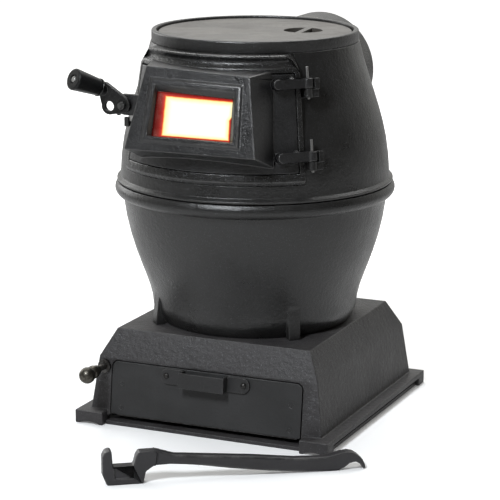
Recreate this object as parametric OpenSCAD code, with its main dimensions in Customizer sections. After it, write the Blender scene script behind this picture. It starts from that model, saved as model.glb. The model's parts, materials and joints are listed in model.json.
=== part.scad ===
// Cast-iron potbelly stove on a square ash base, with a front fuel door, a top lid,
// a round flue collar at the back, a shaking grate, an ash drawer and a loose lifter.
// Millimetres. Origin on the floor under the pot's axis, +Z up, the door faces -Y.

/* [Base] */
// Width of the square base over its flange
base_w = 340; // [320:1:360]
// Height of the base's flat top above the floor
base_h = 117; // [110:1:125]
// Thickness of the floor plate
plate_t = 5; // [4:0.5:6]
// Open slot between the floor plate and the flange
slot_h = 5; // [4:0.5:8]
// Thickness of the base flange
flange_t = 7; // [5:0.5:9]
// Thickness of the base walls
wall_t = 5; // [4:0.5:6]
// Thickness of the base's top plate
base_top_t = 6; // [5:0.5:8]
// Inset of the wall foot behind the flange edge
foot_inset = 15; // [12:0.5:18]
// Inset of the wall at the eave line, behind the flange edge
eave_inset = 23.25; // [21:0.25:25]
// Inset of the flat top, behind the flange edge
top_inset = 40.5; // [36:0.5:44]
// Height of the eave line above the floor
eave_z = 83; // [80:1:86]
// Width of a corner foot along the front
foot_w = 38; // [30:1:40]
// Depth of a corner foot
foot_d = 20; // [16:1:26]
// Radius of the ash opening in the top plate
ash_hole_r = 100; // [90:1:104]

/* [Ash drawer] */
// Half width of the drawer opening in the front wall
bay_half = 128.5; // [120:0.5:130]
// Gap round the drawer front
front_gap = 1; // [1:0.25:3]
// Thickness of the drawer front
front_t = 5; // [4:0.5:6]
// Corner radius at the top of the drawer front
front_corner_r = 8; // [4:1:12]
// Height of the pan's walls
pan_h = 52; // [40:1:54]
// Sheet thickness of the pan
pan_t = 2; // [1.5:0.5:3]
// Depth of the pan, front to back
pan_d = 262; // [220:1:270]
// Half width of the pull's raised middle
pull_half = 30.5; // [26:1:40]
// How far the pull's middle stands off the drawer front
pull_out = 15; // [12:1:22]
// Height of the pull strap
pull_h = 19; // [16:1:24]
// Sheet thickness of the pull strap
pull_t = 3; // [2:0.5:4]

/* [Shaker] */
// Distance of the shaker rod left of the pot's axis
rod_x = 138; // [136:0.5:138]
// Height of the shaker rod
rod_z = 71.5; // [70:0.5:72]
// Radius of the shaker rod
rod_r = 4; // [3:0.25:4]
// Radius of the rod's ball knob
ball_r = 10.2; // [8:0.1:13]
// Distance of the ball's centre in front of the wall
ball_out = 47; // [42:1:56]
// Radius of the grate disc
grate_r = 104; // [98:0.5:106]
// Thickness of the grate disc
grate_t = 9; // [7:0.5:12]
// Width of a grate slot
slot_w = 9; // [7:0.5:11]

/* [Fire pot] */
// Height of the fire pot, from the base to the belly joint
pot_h = 177; // [165:1:190]
// Radius of the pot's foot
foot_r = 118.7; // [114:0.1:122]
// Radius of the pot's neck above the foot
neck_r = 128.5; // [124:0.5:132]
// Radius of the pot just under the belly bead
waist_r = 165.4; // [160:0.1:168]
// Radius of the belly bead
belly_r = 175.4; // [172:0.1:180]
// Wall thickness of the castings
shell_t = 8; // [6:0.5:10]

/* [Upper body] */
// Height of the upper body, from the belly joint to the rim
body_h = 188.5; // [180:0.5:196]
// Radius of the upper body just above the belly bead
skirt_r = 168.4; // [166:0.1:171]
// Radius of the rim band
rim_r = 128.2; // [126:0.1:131]
// Height of the rim band
rim_h = 14.5; // [12:0.5:18]
// Groove between the two belly beads
belly_gap = 1.5; // [1:0.5:3]

/* [Door frame] */
// Radius of the raised door frame at the rim
frame_r = 146; // [143:0.5:149]
// Lean of the door frame, degrees from upright
frame_lean = 9.15; // [8:0.05:10]
// Half angle of the door frame round the body, degrees
frame_half = 44.7; // [44.5:0.1:46]
// Height of the hood above the door
hood_h = 22; // [20:0.5:26]
// Height of the sill below the door
sill_h = 12; // [10:0.5:16]

/* [Door] */
// Height of the door plate
door_h = 115; // [110:0.5:118]
// Half angle of the door plate, degrees
door_half = 42; // [41:0.1:42.4]
// Thickness of the door plate
door_t = 6; // [5:0.5:7]
// Wall of the window housing
box_t = 6; // [4:0.5:8]
// How far the housing's top edge stands out of the frame
box_stand = 17.8; // [14:0.2:24]
// Backward lean of the housing's front, degrees
front_tilt = 15; // [12:0.5:18]
// Half width of the housing's front at its top
box_half_top = 67.3; // [66:0.1:70]
// Half width of the housing's front at its foot
box_half_foot = 84.9; // [82:0.1:87]
// Half width of the window opening
win_half = 50; // [44:0.5:51]
// Height of the window opening
win_h = 52; // [40:0.5:54]
// Thickness of the window glass
glass_t = 4; // [3:0.5:5]

/* [Hinge and latch] */
// Angle of the hinge line round the body, degrees
hinge_angle = 47; // [46:0.25:48]
// Distance of the hinge line in front of the door frame
hinge_off = 6; // [5.5:0.25:7]
// Radius of the hinge pins
pin_r = 1.8; // [1.5:0.1:2.5]
// Thickness of the latch lever
lever_t = 6; // [5:0.5:8]
// Radius of the lever's eye
lever_eye_r = 6; // [4:0.5:7]
// Radius of the latch pivot bolt
pivot_r = 4; // [3:0.25:4.5]
// Length of the hand grip
grip_len = 39; // [34:1:46]
// Radius of the grip's free end
grip_r = 13.5; // [11:0.5:15]

/* [Lid and flue] */
// Gap round the lid
lid_gap = 1.5; // [1:0.25:2.5]
// Thickness of the lid
lid_t = 8; // [6:0.5:9]
// Radius of the lifter pocket in the lid
pocket_r = 24; // [20:0.5:26]
// Outside radius of the flue collar
flue_r = 74; // [70:0.5:76]
// Wall thickness of the flue collar
flue_t = 8; // [6:0.5:10]
// Length of the flue collar
flue_len = 51; // [46:1:70]

/* [Lifter] */
// Length of the lifter
lifter_len = 309; // [290:1:330]
// Thickness of the lifter's fork head
fork_t = 15; // [12:0.5:18]

/* [Hidden] */
$fn = 96;

// Fits: press fits are line to line, running fits and seats have these gaps.
run_gap = 0.05;
seat_gap = 0.3;
neck_gap = 0.1;
clear_gap = 1;
// A cut reaches this far past the face it cuts.
over = 1;
// Larger than the whole stove, for cutting blocks.
far = 400;

// Heights of the stacked castings
flange_z = plate_t + slot_h;
flange_top = flange_z + flange_t;
joint_z = base_h + pot_h;
rim_z = joint_z + body_h;
frame_top_z = rim_z - rim_h;
door_top_z = frame_top_z - hood_h;
door_foot_z = door_top_z - door_h;
frame_foot_z = door_foot_z - sill_h;

// Plan sizes of the base
base_half = base_w / 2;
wall_foot = base_half - foot_inset;
wall_eave = base_half - eave_inset;
wall_top = base_half - top_inset;
wall_lean = (wall_foot - wall_eave) / (eave_z - flange_top);
bay_top = eave_z - 3;

// Outer face of a base wall at height z, below the eave
function wall_at(z) = wall_foot - (z - flange_top) * wall_lean;

// Points of a cubic curve through its end points p[0] and p[3]
curve_steps = 8;
function curve(p) = [for (i = [0 : curve_steps]) let (t = i / curve_steps)
    pow(1 - t, 3) * p[0] + 3 * pow(1 - t, 2) * t * p[1] + 3 * (1 - t) * t * t * p[2] + pow(t, 3) * p[3]];
// Points of an arc in the plane of a profile
function arc(c, r, a0, a1, steps) = [for (i = [0 : steps]) let (a = a0 + (a1 - a0) * i / steps)
    c + r * [cos(a), sin(a)]];
// The same points, moved inwards by t
function inset(points, t) = [for (p = points) p - [t, 0]];
function reversed(list) = [for (i = [len(list) - 1 : -1 : 0]) list[i]];

// Outline of the pot between its foot and the belly bead
bead_h = 18;
foot_h = 17;
pot_curve = curve([[neck_r, base_h + foot_h], [neck_r + 0.8, base_h + 0.3 * pot_h],
    [waist_r - 9, base_h + 0.46 * pot_h], [waist_r, joint_z - bead_h]]);
// Outline of the upper body between the belly bead and the rim
lip_h = 7.5;
body_curve = curve([[skirt_r, joint_z + lip_h], [skirt_r - 2.8, joint_z + 0.42 * body_h],
    [rim_r + 18.2, joint_z + 0.552 * body_h], [rim_r + 0.9, frame_top_z]]);
// Outside radius of the upper body at height z
function body_at(z) = lookup(z, [for (p = body_curve) [p[1], p[0]]]);

// The raised door frame is a cone round the pot's axis.
function cone_at(z) = frame_r + (frame_top_z - z) * tan(frame_lean);

// Sector of the plan between angles a0 and a1, measured from the front towards +X
module sector(a0, a1, z0, z1) {
    translate([0, 0, z0])
        linear_extrude(z1 - z0)
            polygon([[0, 0], for (i = [0 : 2]) let (a = a0 + (a1 - a0) * i / 2) far * [sin(a), -cos(a)]]);
}

// A band between two offsets of the frame cone, from z0 to z1
module cone_band(inner, outer, z0, z1) {
    rotate_extrude($fn = 128)
        polygon([[cone_at(z0) + inner, z0], [cone_at(z0) + outer, z0],
            [cone_at(z1) + outer, z1], [cone_at(z1) + inner, z1]]);
}

// Closed solid between two four-sided outlines, each from low left round by low right
module loft4(front, back) {
    polyhedron(concat(front, back), [[0, 3, 2, 1], [4, 5, 6, 7],
        [0, 1, 5], [0, 5, 4], [3, 7, 6], [3, 6, 2], [1, 2, 6], [1, 6, 5], [0, 4, 7], [0, 7, 3]]);
}

// Outline for loft4. Its low edge is level, its high edge rises to the left by tilt on each side of x = 0,
// and its plane leans by lean.
function outline4(low_half, low_y, low_z, high_half, high_y, high_z, tilt = 0, lean = 0) =
    [[-low_half, low_y, low_z], [low_half, low_y, low_z],
        [high_half, high_y - tilt * lean, high_z - tilt], [-high_half, high_y + tilt * lean, high_z + tilt]];

// Cylinder along +Y from y0 to y1
module along_y(x, z, y0, y1, r, r2 = -1) {
    translate([x, y0, z])
        rotate([-90, 0, 0])
            cylinder(r1 = r, r2 = r2 < 0 ? r : r2, h = y1 - y0);
}

// Box from corner a to corner b
module block(a, b) {
    translate(a)
        cube(b - a);
}

// Hexagon nut or bolt head standing on z = 0
module hex(across, h) {
    cylinder(r = across / 2 / cos(30), h = h, $fn = 6);
}

// Both discs and the straight flanks that join them
module link2d(a, ra, b, rb) {
    d = norm(b - a);
    turn = atan2(b[1] - a[1], b[0] - a[0]);
    spread = acos((ra - rb) / d);
    // The flanks start just inside the discs, so that they cross them cleanly.
    fa = 0.985 * ra;
    fb = 0.985 * rb;
    translate(a)
        circle(ra);
    translate(b)
        circle(rb);
    polygon([a + fa * [cos(turn + spread), sin(turn + spread)], b + fb * [cos(turn + spread), sin(turn + spread)],
        b + fb * [cos(turn - spread), sin(turn - spread)], a + fa * [cos(turn - spread), sin(turn - spread)]]);
}

// ---- Base ----------------------------------------------------------------------------

// Section of the base hood: walls with draft, then the sloping shoulder
module hood_section(t, top_t) {
    polygon([[-wall_foot + t, flange_z - (t > 0 ? over : 0)], [wall_foot - t, flange_z - (t > 0 ? over : 0)],
        [wall_foot - t, flange_top], [wall_eave - t, eave_z], [wall_top - t * 0.8, base_h - top_t],
        [-wall_top + t * 0.8, base_h - top_t], [-wall_eave + t, eave_z], [-wall_foot + t, flange_top]]);
}

module hood(t, top_t) {
    intersection() {
        rotate([90, 0, 0])
            linear_extrude(2 * far, center = true)
                hood_section(t, top_t);
        rotate([90, 0, 90])
            linear_extrude(2 * far, center = true)
                hood_section(t, top_t);
    }
}

// Places its children at the four corners, (x, y) from the middle
module at_corners(x, y) {
    for (sx = [-1, 1], sy = [-1, 1])
        translate([sx * x, sy * y, 0])
            children();
}

screw_at = wall_foot - wall_t - 6;
screw_r = 3;
screw_len = 12;
screw_boss_r = 8;
foot_arch = 4;
lug_angle = 45;
pot_bolt_r = 3;
pot_bolt_at = foot_r + 8;
pot_bolt_in = 18;
lug_w = 15;
lug_h = 48;
bushing_r = 7;
guide_y = 45;
guide_t = 10;

// Outline of the drawer bay in the front wall, rounded at its top corners
module bay2d(half, z0, z1) {
    translate([-half, z0])
        square([2 * half, z1 - z0 - front_corner_r]);
    translate([-half + front_corner_r, z0])
        square([2 * (half - front_corner_r), z1 - z0]);
    for (s = [-1, 1])
        translate([s * (half - front_corner_r), z1 - front_corner_r])
            circle(front_corner_r);
}

module base_casting() {
    color([0.20, 0.20, 0.21])
    difference() {
        union() {
            difference() {
                union() {
                    hood(0, 0);
                    block([-base_half, -base_half, flange_z], [base_half, base_half, flange_top]);
                }
                hood(wall_t, base_top_t);
                // The drawer bay goes through the front wall and the front flange.
                translate([0, -wall_top + over, 0])
                    rotate([90, 0, 0])
                        linear_extrude(far)
                            bay2d(bay_half, 0, bay_top);
                block([-base_half + foot_w, -base_half - over, 0], [base_half - foot_w, -wall_foot, flange_top + over]);
            }
            // Corner feet, and bosses for the floor plate's screws
            at_corners(base_half - foot_w / 2, base_half - foot_d / 2)
                translate([-foot_w / 2, -foot_d / 2, 0])
                    cube([foot_w, foot_d, flange_top - over]);
            at_corners(screw_at, screw_at)
                translate([0, 0, plate_t])
                    cylinder(r = screw_boss_r, h = flange_top + 3 - plate_t);
            // Guide for the rear end of the shaker rod
            block([-wall_at(rod_z) + over, guide_y, rod_z - 8], [-rod_x + 7, guide_y + guide_t, rod_z + 8]);
        }
        // Arched underside of each foot
        at_corners(base_half - foot_w / 2, base_half - foot_d / 2)
            translate([0, 0, -foot_w * 0.9])
                rotate([90, 0, 0])
                    cylinder(r = foot_w * 0.9 + foot_arch - 1, h = foot_d + 2 * over, center = true);
        at_corners(screw_at, screw_at)
            cylinder(r = screw_r, h = plate_t + screw_len);
        translate([0, 0, base_h - base_top_t - over])
            cylinder(r = ash_hole_r, h = base_top_t + 2 * over);
        for (a = [0 : 3])
            rotate([0, 0, lug_angle + 90 * a])
                translate([0, -pot_bolt_at, base_h - base_top_t - over])
                    cylinder(r = pot_bolt_r + run_gap, h = base_top_t + 2 * over);
        along_y(-rod_x, rod_z, -wall_foot, -wall_foot + 20, bushing_r);
        along_y(-rod_x, rod_z, guide_y - over, guide_y + guide_t + over, rod_r + run_gap);
    }
}

plate_half = base_half - 5;
sill_set = 9;
rail_x = 100;
rail_w = 10;
rail_h = 4.7;

module floor_plate() {
    color([0.17, 0.17, 0.18])
    difference() {
        union() {
            block([-plate_half, -base_half + sill_set, 0], [plate_half, plate_half, plate_t]);
            // Runners for the ash pan
            for (s = [-1, 1])
                translate([s * rail_x, 0, 0])
                    block([-rail_w / 2, -wall_foot + 26, plate_t / 2], [rail_w / 2, wall_foot - 30, plate_t + rail_h]);
        }
        // The feet pass outside the plate's notched corners.
        at_corners(base_half - foot_w / 2, base_half - foot_d / 2)
            translate([-foot_w / 2 - 0.5, -foot_d / 2 - 0.5, 0])
                cube([foot_w + 1, foot_d + 1, flange_z]);
        at_corners(screw_at, screw_at) {
            cylinder(r = screw_r, h = flange_z);
            translate([0, 0, -over])
                cylinder(r1 = screw_r + plate_t, r2 = screw_r - over, h = plate_t + over);
        }
    }
}

module plate_screws() {
    color([0.30, 0.30, 0.31])
    at_corners(screw_at, screw_at) {
        cylinder(r = screw_r, h = plate_t + screw_len - 1);
        cylinder(r1 = screw_r + plate_t - over, r2 = screw_r - over, h = plate_t);
    }
}

wall_rod_y = -wall_at(rod_z);

module rod_bushing() {
    color([0.30, 0.29, 0.28])
    difference() {
        union() {
            along_y(-rod_x, rod_z, wall_rod_y - 1.5, wall_rod_y + wall_t + 4, bushing_r);
            along_y(-rod_x, rod_z, wall_rod_y - 4, wall_rod_y - 1.2, bushing_r + 1.5);
        }
        along_y(-rod_x, rod_z, wall_rod_y - 6, wall_rod_y + far / 10, rod_r + run_gap);
    }
}

// ---- Fire pot ------------------------------------------------------------------------

ledge_h = 8;
ledge_r = 95;
seal_in = 9;
seal_w = 5;
seal_depth = 3;
inner_lip_r = belly_r - 20;

module fire_pot() {
    color([0.22, 0.22, 0.23])
    difference() {
        union() {
            rotate_extrude($fn = 128)
                polygon(concat(
                    [[ledge_r, base_h], [foot_r, base_h], [foot_r + 3.5, base_h + 5.5]],
                    pot_curve,
                    arc([waist_r + 0.5, joint_z - 8.5], belly_r - waist_r - 0.5, -80, 30, 7),
                    [[belly_r - 3, joint_z], [inner_lip_r, joint_z], [inner_lip_r, joint_z - 9]],
                    reversed(inset(pot_curve, shell_t)),
                    [[foot_r - 4, base_h + ledge_h], [ledge_r, base_h + ledge_h]]));
            for (a = [0 : 3])
                rotate([0, 0, lug_angle + 90 * a])
                    pot_lug();
        }
        translate([0, 0, joint_z - seal_depth])
            difference() {
                cylinder(r = waist_r, h = far);
                cylinder(r = waist_r - seal_w, h = far);
            }
        for (a = [0 : 3])
            rotate([0, 0, lug_angle + 90 * a])
                translate([0, -pot_bolt_at, base_h - over])
                    cylinder(r = pot_bolt_r + run_gap, h = pot_bolt_in + 2);
    }
}

// Foot lug at the front of the pot: a solid gusset that tapers up into the wall
module pot_lug() {
    rotate([90, 0, 90])
        linear_extrude(lug_w, center = true)
            polygon([[-neck_r + 5, base_h], [-pot_bolt_at - 8, base_h], [-pot_bolt_at - 8, base_h + 5],
                [-neck_r - 1.5, base_h + lug_h], [-neck_r + 5, base_h + lug_h]]);
}

module pot_bolts() {
    color([0.33, 0.32, 0.31])
    for (a = [0 : 3])
        rotate([0, 0, lug_angle + 90 * a])
            translate([0, -pot_bolt_at, 0]) {
                translate([0, 0, base_h - base_top_t - 3])
                    cylinder(r = pot_bolt_r, h = base_top_t + pot_bolt_in + 2);
                translate([0, 0, base_h - base_top_t - 4])
                    rotate([0, 0, 30])
                        hex(10, 4);
            }
}

module belly_seal() {
    color([0.55, 0.53, 0.48])
    translate([0, 0, joint_z - seal_depth])
        difference() {
            cylinder(r = waist_r, h = seal_depth + belly_gap, $fn = 128);
            translate([0, 0, -over])
                cylinder(r = waist_r - seal_w, h = seal_depth + belly_gap + 2 * over, $fn = 128);
        }
}

// ---- Upper body ----------------------------------------------------------------------

frame_deep = 21;
rebate = 8.2;
inner_half = 37;
inner_margin = 7;
lid_r = rim_r - 6.4 - lid_gap;
lid_top = rim_z - 3;
lid_seat = lid_top - lid_t - seat_gap / 2;
lid_ledge_r = lid_r - 8;
flue_z = frame_top_z - flue_r + 10;
pad_y = 167;
gasket_t = 2;
throat_r = flue_r - flue_t - 6;
ring_lip_r = lid_ledge_r + 8;
ear_x = flue_r + 12;
ear_r = 10;
ear_t = 8;
ear_drop = 40;
collar_bolt_r = 4;

// Everything inside the upper body's shell
module body_inside(grow = 0) {
    rotate_extrude($fn = 128)
        polygon(concat([[0, joint_z - over], [waist_r - seal_w - 3, joint_z - over]],
            [[waist_r - seal_w - 3, joint_z + lip_h]], inset(body_curve, shell_t - 1 - grow),
            [[lid_ledge_r - 3, lid_seat + over], [0, lid_seat + over]]));
}

// Space that the body takes, grown by grow
module body_outside(grow) {
    rotate_extrude($fn = 128)
        polygon(concat([[0, joint_z + lip_h]], inset(body_curve, -grow),
            [[rim_r + grow, frame_top_z + 1], [0, frame_top_z + 1]]));
}

module body_shell() {
    rotate_extrude($fn = 128)
        polygon(concat(
            [[waist_r - seal_w - 3, joint_z + belly_gap], [belly_r - 3, joint_z + belly_gap]],
            [[belly_r - 2.4, joint_z + belly_gap + 2.5], [skirt_r + 1.2, joint_z + lip_h - 0.8]],
            body_curve,
            reversed(inset(body_curve, shell_t - 1)),
            [[waist_r - seal_w - 3, joint_z + lip_h]]));
}

// Raised frame round the door: a cone with a hollow moulding under its top ledge
module frame_body() {
    cove_z = frame_top_z - hood_h + 7;
    intersection() {
        rotate_extrude($fn = 128)
            polygon(concat(
                [[cone_at(frame_foot_z) - frame_deep, frame_foot_z - 3], [body_at(frame_foot_z), frame_foot_z - 3],
                    [cone_at(frame_foot_z), frame_foot_z + 2], [cone_at(cove_z), cove_z]],
                [for (i = [1 : 5]) let (a = 180 * i / 6)
                    [cone_at(cove_z) - 4.6 * sin(a) - 0.35 * i, cove_z + i * (hood_h - 9) / 6]],
                [[frame_r, frame_top_z - 2], [frame_r - 2, frame_top_z], [ring_lip_r + 0.7, frame_top_z]]));
        frame_block(0);
    }
}

// Block between the radial sides, the foot and the slanted top corners of the door frame
module frame_block(r) {
    intersection() {
        difference() {
            sector(-frame_half, frame_half, frame_foot_z - 3, frame_top_z);
            cylinder(r = r, h = far * 2);
        }
        // The two top corners are cut off at a slant.
        rotate([90, 0, 0])
            linear_extrude(far)
                polygon([[-far, frame_foot_z - 9], [far, frame_foot_z - 9], [far, door_top_z - 3],
                    [cone_at(door_top_z) * sin(frame_half), door_top_z + 1],
                    [frame_r * sin(frame_half - 7.9), frame_top_z + 2], [-frame_r * sin(frame_half - 7.9), frame_top_z + 2],
                    [-cone_at(door_top_z) * sin(frame_half), door_top_z + 1], [-far, door_top_z - 3]]);
    }
}

// Places its children on the hinge line at height z: x round the body, y inwards, z along the line
module on_hinge(z) {
    rotate([0, 0, hinge_angle])
        translate([0, -cone_at(z) - hinge_off, z])
            rotate([-frame_lean, 0, 0])
                children();
}

hinge_high = door_top_z - 10;
hinge_low = door_foot_z + 20;
strap_half = 5.5;
strap_len = 38.5;
strap_end_r = 6.2;
eye_r = 6.5;
lug_drop = 17;
strap_sink = 6;
stop_end = 14;

// Fixed half of a hinge: an ear under the strap's eye, and a stop block beyond it
module body_lug(z) {
    deep = cone_at(z) + hinge_off - body_at(z) + 3.5;
    on_hinge(z)
        difference() {
            union() {
                translate([0, 0, -lug_drop])
                    cylinder(r = eye_r - 1.5, h = lug_drop - strap_half - seat_gap);
                block([-3, 0, -lug_drop], [stop_end, deep, -strap_half - seat_gap]);
                block([eye_r + 1, -4, -strap_half - 2], [stop_end, deep, strap_half]);
            }
            translate([0, 0, -lug_drop - over])
                cylinder(r = pin_r + run_gap, h = lug_drop);
        }
}

// Latch positions
latch_z = door_foot_z + 66.5;
latch_ear_r = 13;
pivot_x = -cone_at(latch_z) * sin(door_half) - 12.7;
ear_back = -cone_at(latch_z - latch_ear_r) * cos(door_half) - clear_gap;
ear_front = ear_back - 6;
cam_len = 20;
cam_half = 3;
cam_t = 5;
cam_front = ear_back + 0.6;
lever_back = ear_front - 0.5;
lever_front = lever_back - lever_t;

keeper_left = 1.5;
keeper_right = 4.5;
keeper_h = 6;
keeper_top = latch_z - cam_len - 1.2;
keeper_out = ear_back - 4.6;

// Square bar of the keeper, which passes through a mortise in the body's wall
module keeper_bar() {
    block([pivot_x - keeper_left, keeper_out, keeper_top - keeper_h],
        [pivot_x + keeper_right, -body_at(latch_z - cam_len) * 0.62, keeper_top]);
}

// Hook that the latch cam turns behind, pressed into the body's wall
module latch_keeper() {
    color([0.26, 0.25, 0.25])
    difference() {
        union() {
            keeper_bar();
            block([pivot_x - keeper_left, keeper_out, keeper_top - keeper_h],
                [pivot_x + keeper_right, ear_back - 0.1, keeper_top + 5.7]);
        }
        body_inside();
    }
}

// Rebate for the door plate, then the narrower fuel opening
module door_way() {
    intersection() {
        cone_band(-rebate, far / 10, door_foot_z - 0.8, door_top_z + 1.5);
        sector(-door_half - 0.3, door_half + 0.3, door_foot_z - 5, door_top_z + 5);
    }
    intersection() {
        cone_band(-frame_deep - 30, far / 10, door_foot_z + inner_margin, door_top_z - inner_margin);
        sector(-inner_half, inner_half, door_foot_z, door_top_z);
    }
}

// Frame casting let into the front of the body
module door_frame() {
    color([0.22, 0.22, 0.23])
    difference() {
        frame_body();
        door_way();
    }
}

// Ring on top of the body that carries the lid
module top_ring() {
    color([0.22, 0.22, 0.23])
    rotate_extrude($fn = 128)
        polygon([[rim_r, frame_top_z], [rim_r, rim_z - 1.5], [rim_r - 1.5, rim_z], [lid_r + lid_gap + 1, rim_z],
            [lid_r + lid_gap, rim_z - 1], [lid_r + lid_gap, lid_seat], [lid_ledge_r, lid_seat],
            [lid_ledge_r, lid_seat - 5], [ring_lip_r, lid_seat - 5], [ring_lip_r, frame_top_z]]);
}

module upper_body() {
    color([0.22, 0.22, 0.23])
    difference() {
        union() {
            difference() {
                body_shell();
                frame_block(rim_r - shell_t - 20);
            }
            body_lug(hinge_high);
            body_lug(hinge_low);
        }
        keeper_bar();
        along_y(0, flue_z, 60, pad_y + over, throat_r);
    }
}

// Neck on the back of the body that carries the flue collar
module flue_neck() {
    color([0.22, 0.22, 0.23])
    difference() {
        union() {
            along_y(0, flue_z, 90, pad_y, flue_r);
            at_ears()
                ear(pad_y - 16, pad_y);
        }
        body_outside(neck_gap);
        translate([0, 0, frame_top_z])
            cylinder(r = rim_r + seat_gap, h = far);
        along_y(0, flue_z, 60, pad_y + over, throat_r);
        at_ears()
            along_y(ear_x, 0, pad_y - 13, pad_y + over, collar_bolt_r);
    }
}

module hinge_pins() {
    color([0.55, 0.54, 0.52])
    for (z = [hinge_high, hinge_low])
        on_hinge(z)
            translate([0, 0, -lug_drop - 2])
                cylinder(r = pin_r, h = lug_drop + 2 + strap_half + 14, $fn = 48);
}

// ---- Flue ----------------------------------------------------------------------------

// Places its children at both ears: x runs outwards from the flue's axis
module at_ears() {
    for (a = [ear_drop, 180 - ear_drop])
        translate([0, 0, flue_z])
            rotate([0, a, 0])
                children();
}

module ear(y0, y1) {
    along_y(ear_x, 0, y0, y1, ear_r);
    block([flue_r - 6, y0, -ear_r], [ear_x, y1, ear_r]);
}

// Section of the collar's foot, with its two ears
module collar_plate(y0, y1) {
    along_y(0, flue_z, y0, y1, flue_r);
    at_ears()
        ear(y0, y1);
}

module collar_holes(way_r, r) {
    along_y(0, flue_z, 0, far, way_r);
    at_ears()
        along_y(ear_x, 0, 0, far, r);
}

module flue_collar() {
    color([0.20, 0.20, 0.21])
    difference() {
        union() {
            collar_plate(pad_y + gasket_t, pad_y + gasket_t + ear_t);
            along_y(0, flue_z, pad_y + gasket_t, pad_y + gasket_t + flue_len, flue_r);
        }
        collar_holes(flue_r - flue_t, collar_bolt_r + run_gap);
    }
}

module collar_gasket() {
    color([0.55, 0.53, 0.48])
    difference() {
        collar_plate(pad_y, pad_y + gasket_t);
        collar_holes(flue_r - flue_t + 1, collar_bolt_r + run_gap);
    }
}

module collar_bolts() {
    color([0.33, 0.32, 0.31])
    at_ears() {
        along_y(ear_x, 0, pad_y - 12, pad_y + gasket_t + ear_t + 1, collar_bolt_r);
        translate([ear_x, pad_y + gasket_t + ear_t, 0])
            rotate([-90, 0, 0])
                hex(13, 5.5);
    }
}

// ---- Grate and shaker ----------------------------------------------------------------

grate_z = base_h + ledge_h + seat_gap;
hub_r = 14;
arm_top = rod_z + 12;
arm_t = 6;
crank_bolt_r = 5;
crank_pin_r = 3.5;

module grate() {
    color([0.24, 0.22, 0.21])
    difference() {
        union() {
            translate([0, 0, grate_z])
                cylinder(r = grate_r, h = grate_t);
            translate([0, 0, arm_top])
                cylinder(r = hub_r, h = grate_z - arm_top + 1);
        }
        // Parallel ash slots, left out over the hub
        for (i = [-4 : 4])
            if (i != 0)
                let (y = i * 2.1 * slot_w, half = sqrt(pow(grate_r - 8, 2) - pow(abs(y) + slot_w / 2, 2)))
                    translate([-half, y - slot_w / 2, grate_z - over])
                        cube([2 * half, slot_w, grate_t + 2 * over]);
        for (s = [-1, 1])
            translate([s > 0 ? hub_r + 10 : -grate_r + 8, -slot_w / 2, grate_z - over])
                cube([grate_r - hub_r - 18, slot_w, grate_t + 2 * over]);
        translate([0, 0, arm_top - over])
            cylinder(r = crank_bolt_r, h = 20);
    }
}

// Arm under the grate; its open fork straddles the rod's upright pin
module crank_arm() {
    reach = rod_x + 2;
    fork_half = crank_pin_r + 0.5;
    color([0.26, 0.25, 0.24])
    difference() {
        translate([0, 0, arm_top - arm_t]) {
            cylinder(r = hub_r + 2, h = arm_t);
            block([-reach, -9, 0], [0, 9, arm_t]);
        }
        block([-reach - over, -fork_half, 0], [-rod_x + 5, fork_half, far]);
        translate([0, 0, arm_top - arm_t - over])
            cylinder(r = crank_bolt_r, h = arm_t + 2 * over);
    }
}

module crank_bolt() {
    color([0.33, 0.32, 0.31])
    union() {
        translate([0, 0, arm_top - arm_t - 5])
            hex(16, 5);
        translate([0, 0, arm_top - arm_t - 1])
            cylinder(r = crank_bolt_r, h = arm_t + 18);
    }
}

ball_y = wall_rod_y - ball_out;
knob_neck_r = 5;
knob_bore = 12;

module shaker_rod() {
    color([0.36, 0.35, 0.34])
    union() {
        along_y(-rod_x, rod_z, ball_y - ball_r + 6, guide_y + guide_t + 24, rod_r);
        translate([-rod_x, 0, rod_z])
            cylinder(r = crank_pin_r, h = arm_top - rod_z - 0.5);
    }
}

// Turned knob: ball, neck and a smaller bead against the rod
module rod_knob() {
    bead_y = ball_y + 15.5;
    bead_r = 8.4;
    color([0.30, 0.29, 0.28])
    difference() {
        union() {
            translate([-rod_x, ball_y, rod_z])
                sphere(ball_r);
            along_y(-rod_x, rod_z, ball_y, bead_y, knob_neck_r);
            translate([-rod_x, bead_y, rod_z])
                sphere(bead_r);
            along_y(-rod_x, rod_z, bead_y, bead_y + bead_r + 1, knob_neck_r + 1.5);
        }
        along_y(-rod_x, rod_z, ball_y - ball_r + 6, ball_y + far / 4, rod_r);
    }
}

// ---- Ash drawer ----------------------------------------------------------------------

front_half = bay_half - front_gap;
front_z0 = plate_t + 8;
front_z1 = bay_top - 1;
pan_half = bay_half - 7;
pan_z = plate_t + rail_h + seat_gap;
pan_y0 = -wall_at(pan_z + pan_h) + front_t;
rivet_r = 2.5;

// Slab that leans with the base's front wall: y from d0 to d1 behind its outer face
module front_slab(d0, d1, z0, z1) {
    rotate([90, 0, 90])
        linear_extrude(2 * far, center = true)
            polygon([[-wall_at(z0) + d0, z0], [-wall_at(z0) + d1, z0], [-wall_at(z1) + d1, z1], [-wall_at(z1) + d0, z1]]);
}

rivet_rows = [12, 42];

// Rivet places that join the drawer front to the pan
module at_front_rivets() {
    for (s = [-1, 1], z = rivet_rows)
        translate([s * (pan_half - 8), 0, pan_z + z])
            children();
}

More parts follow.
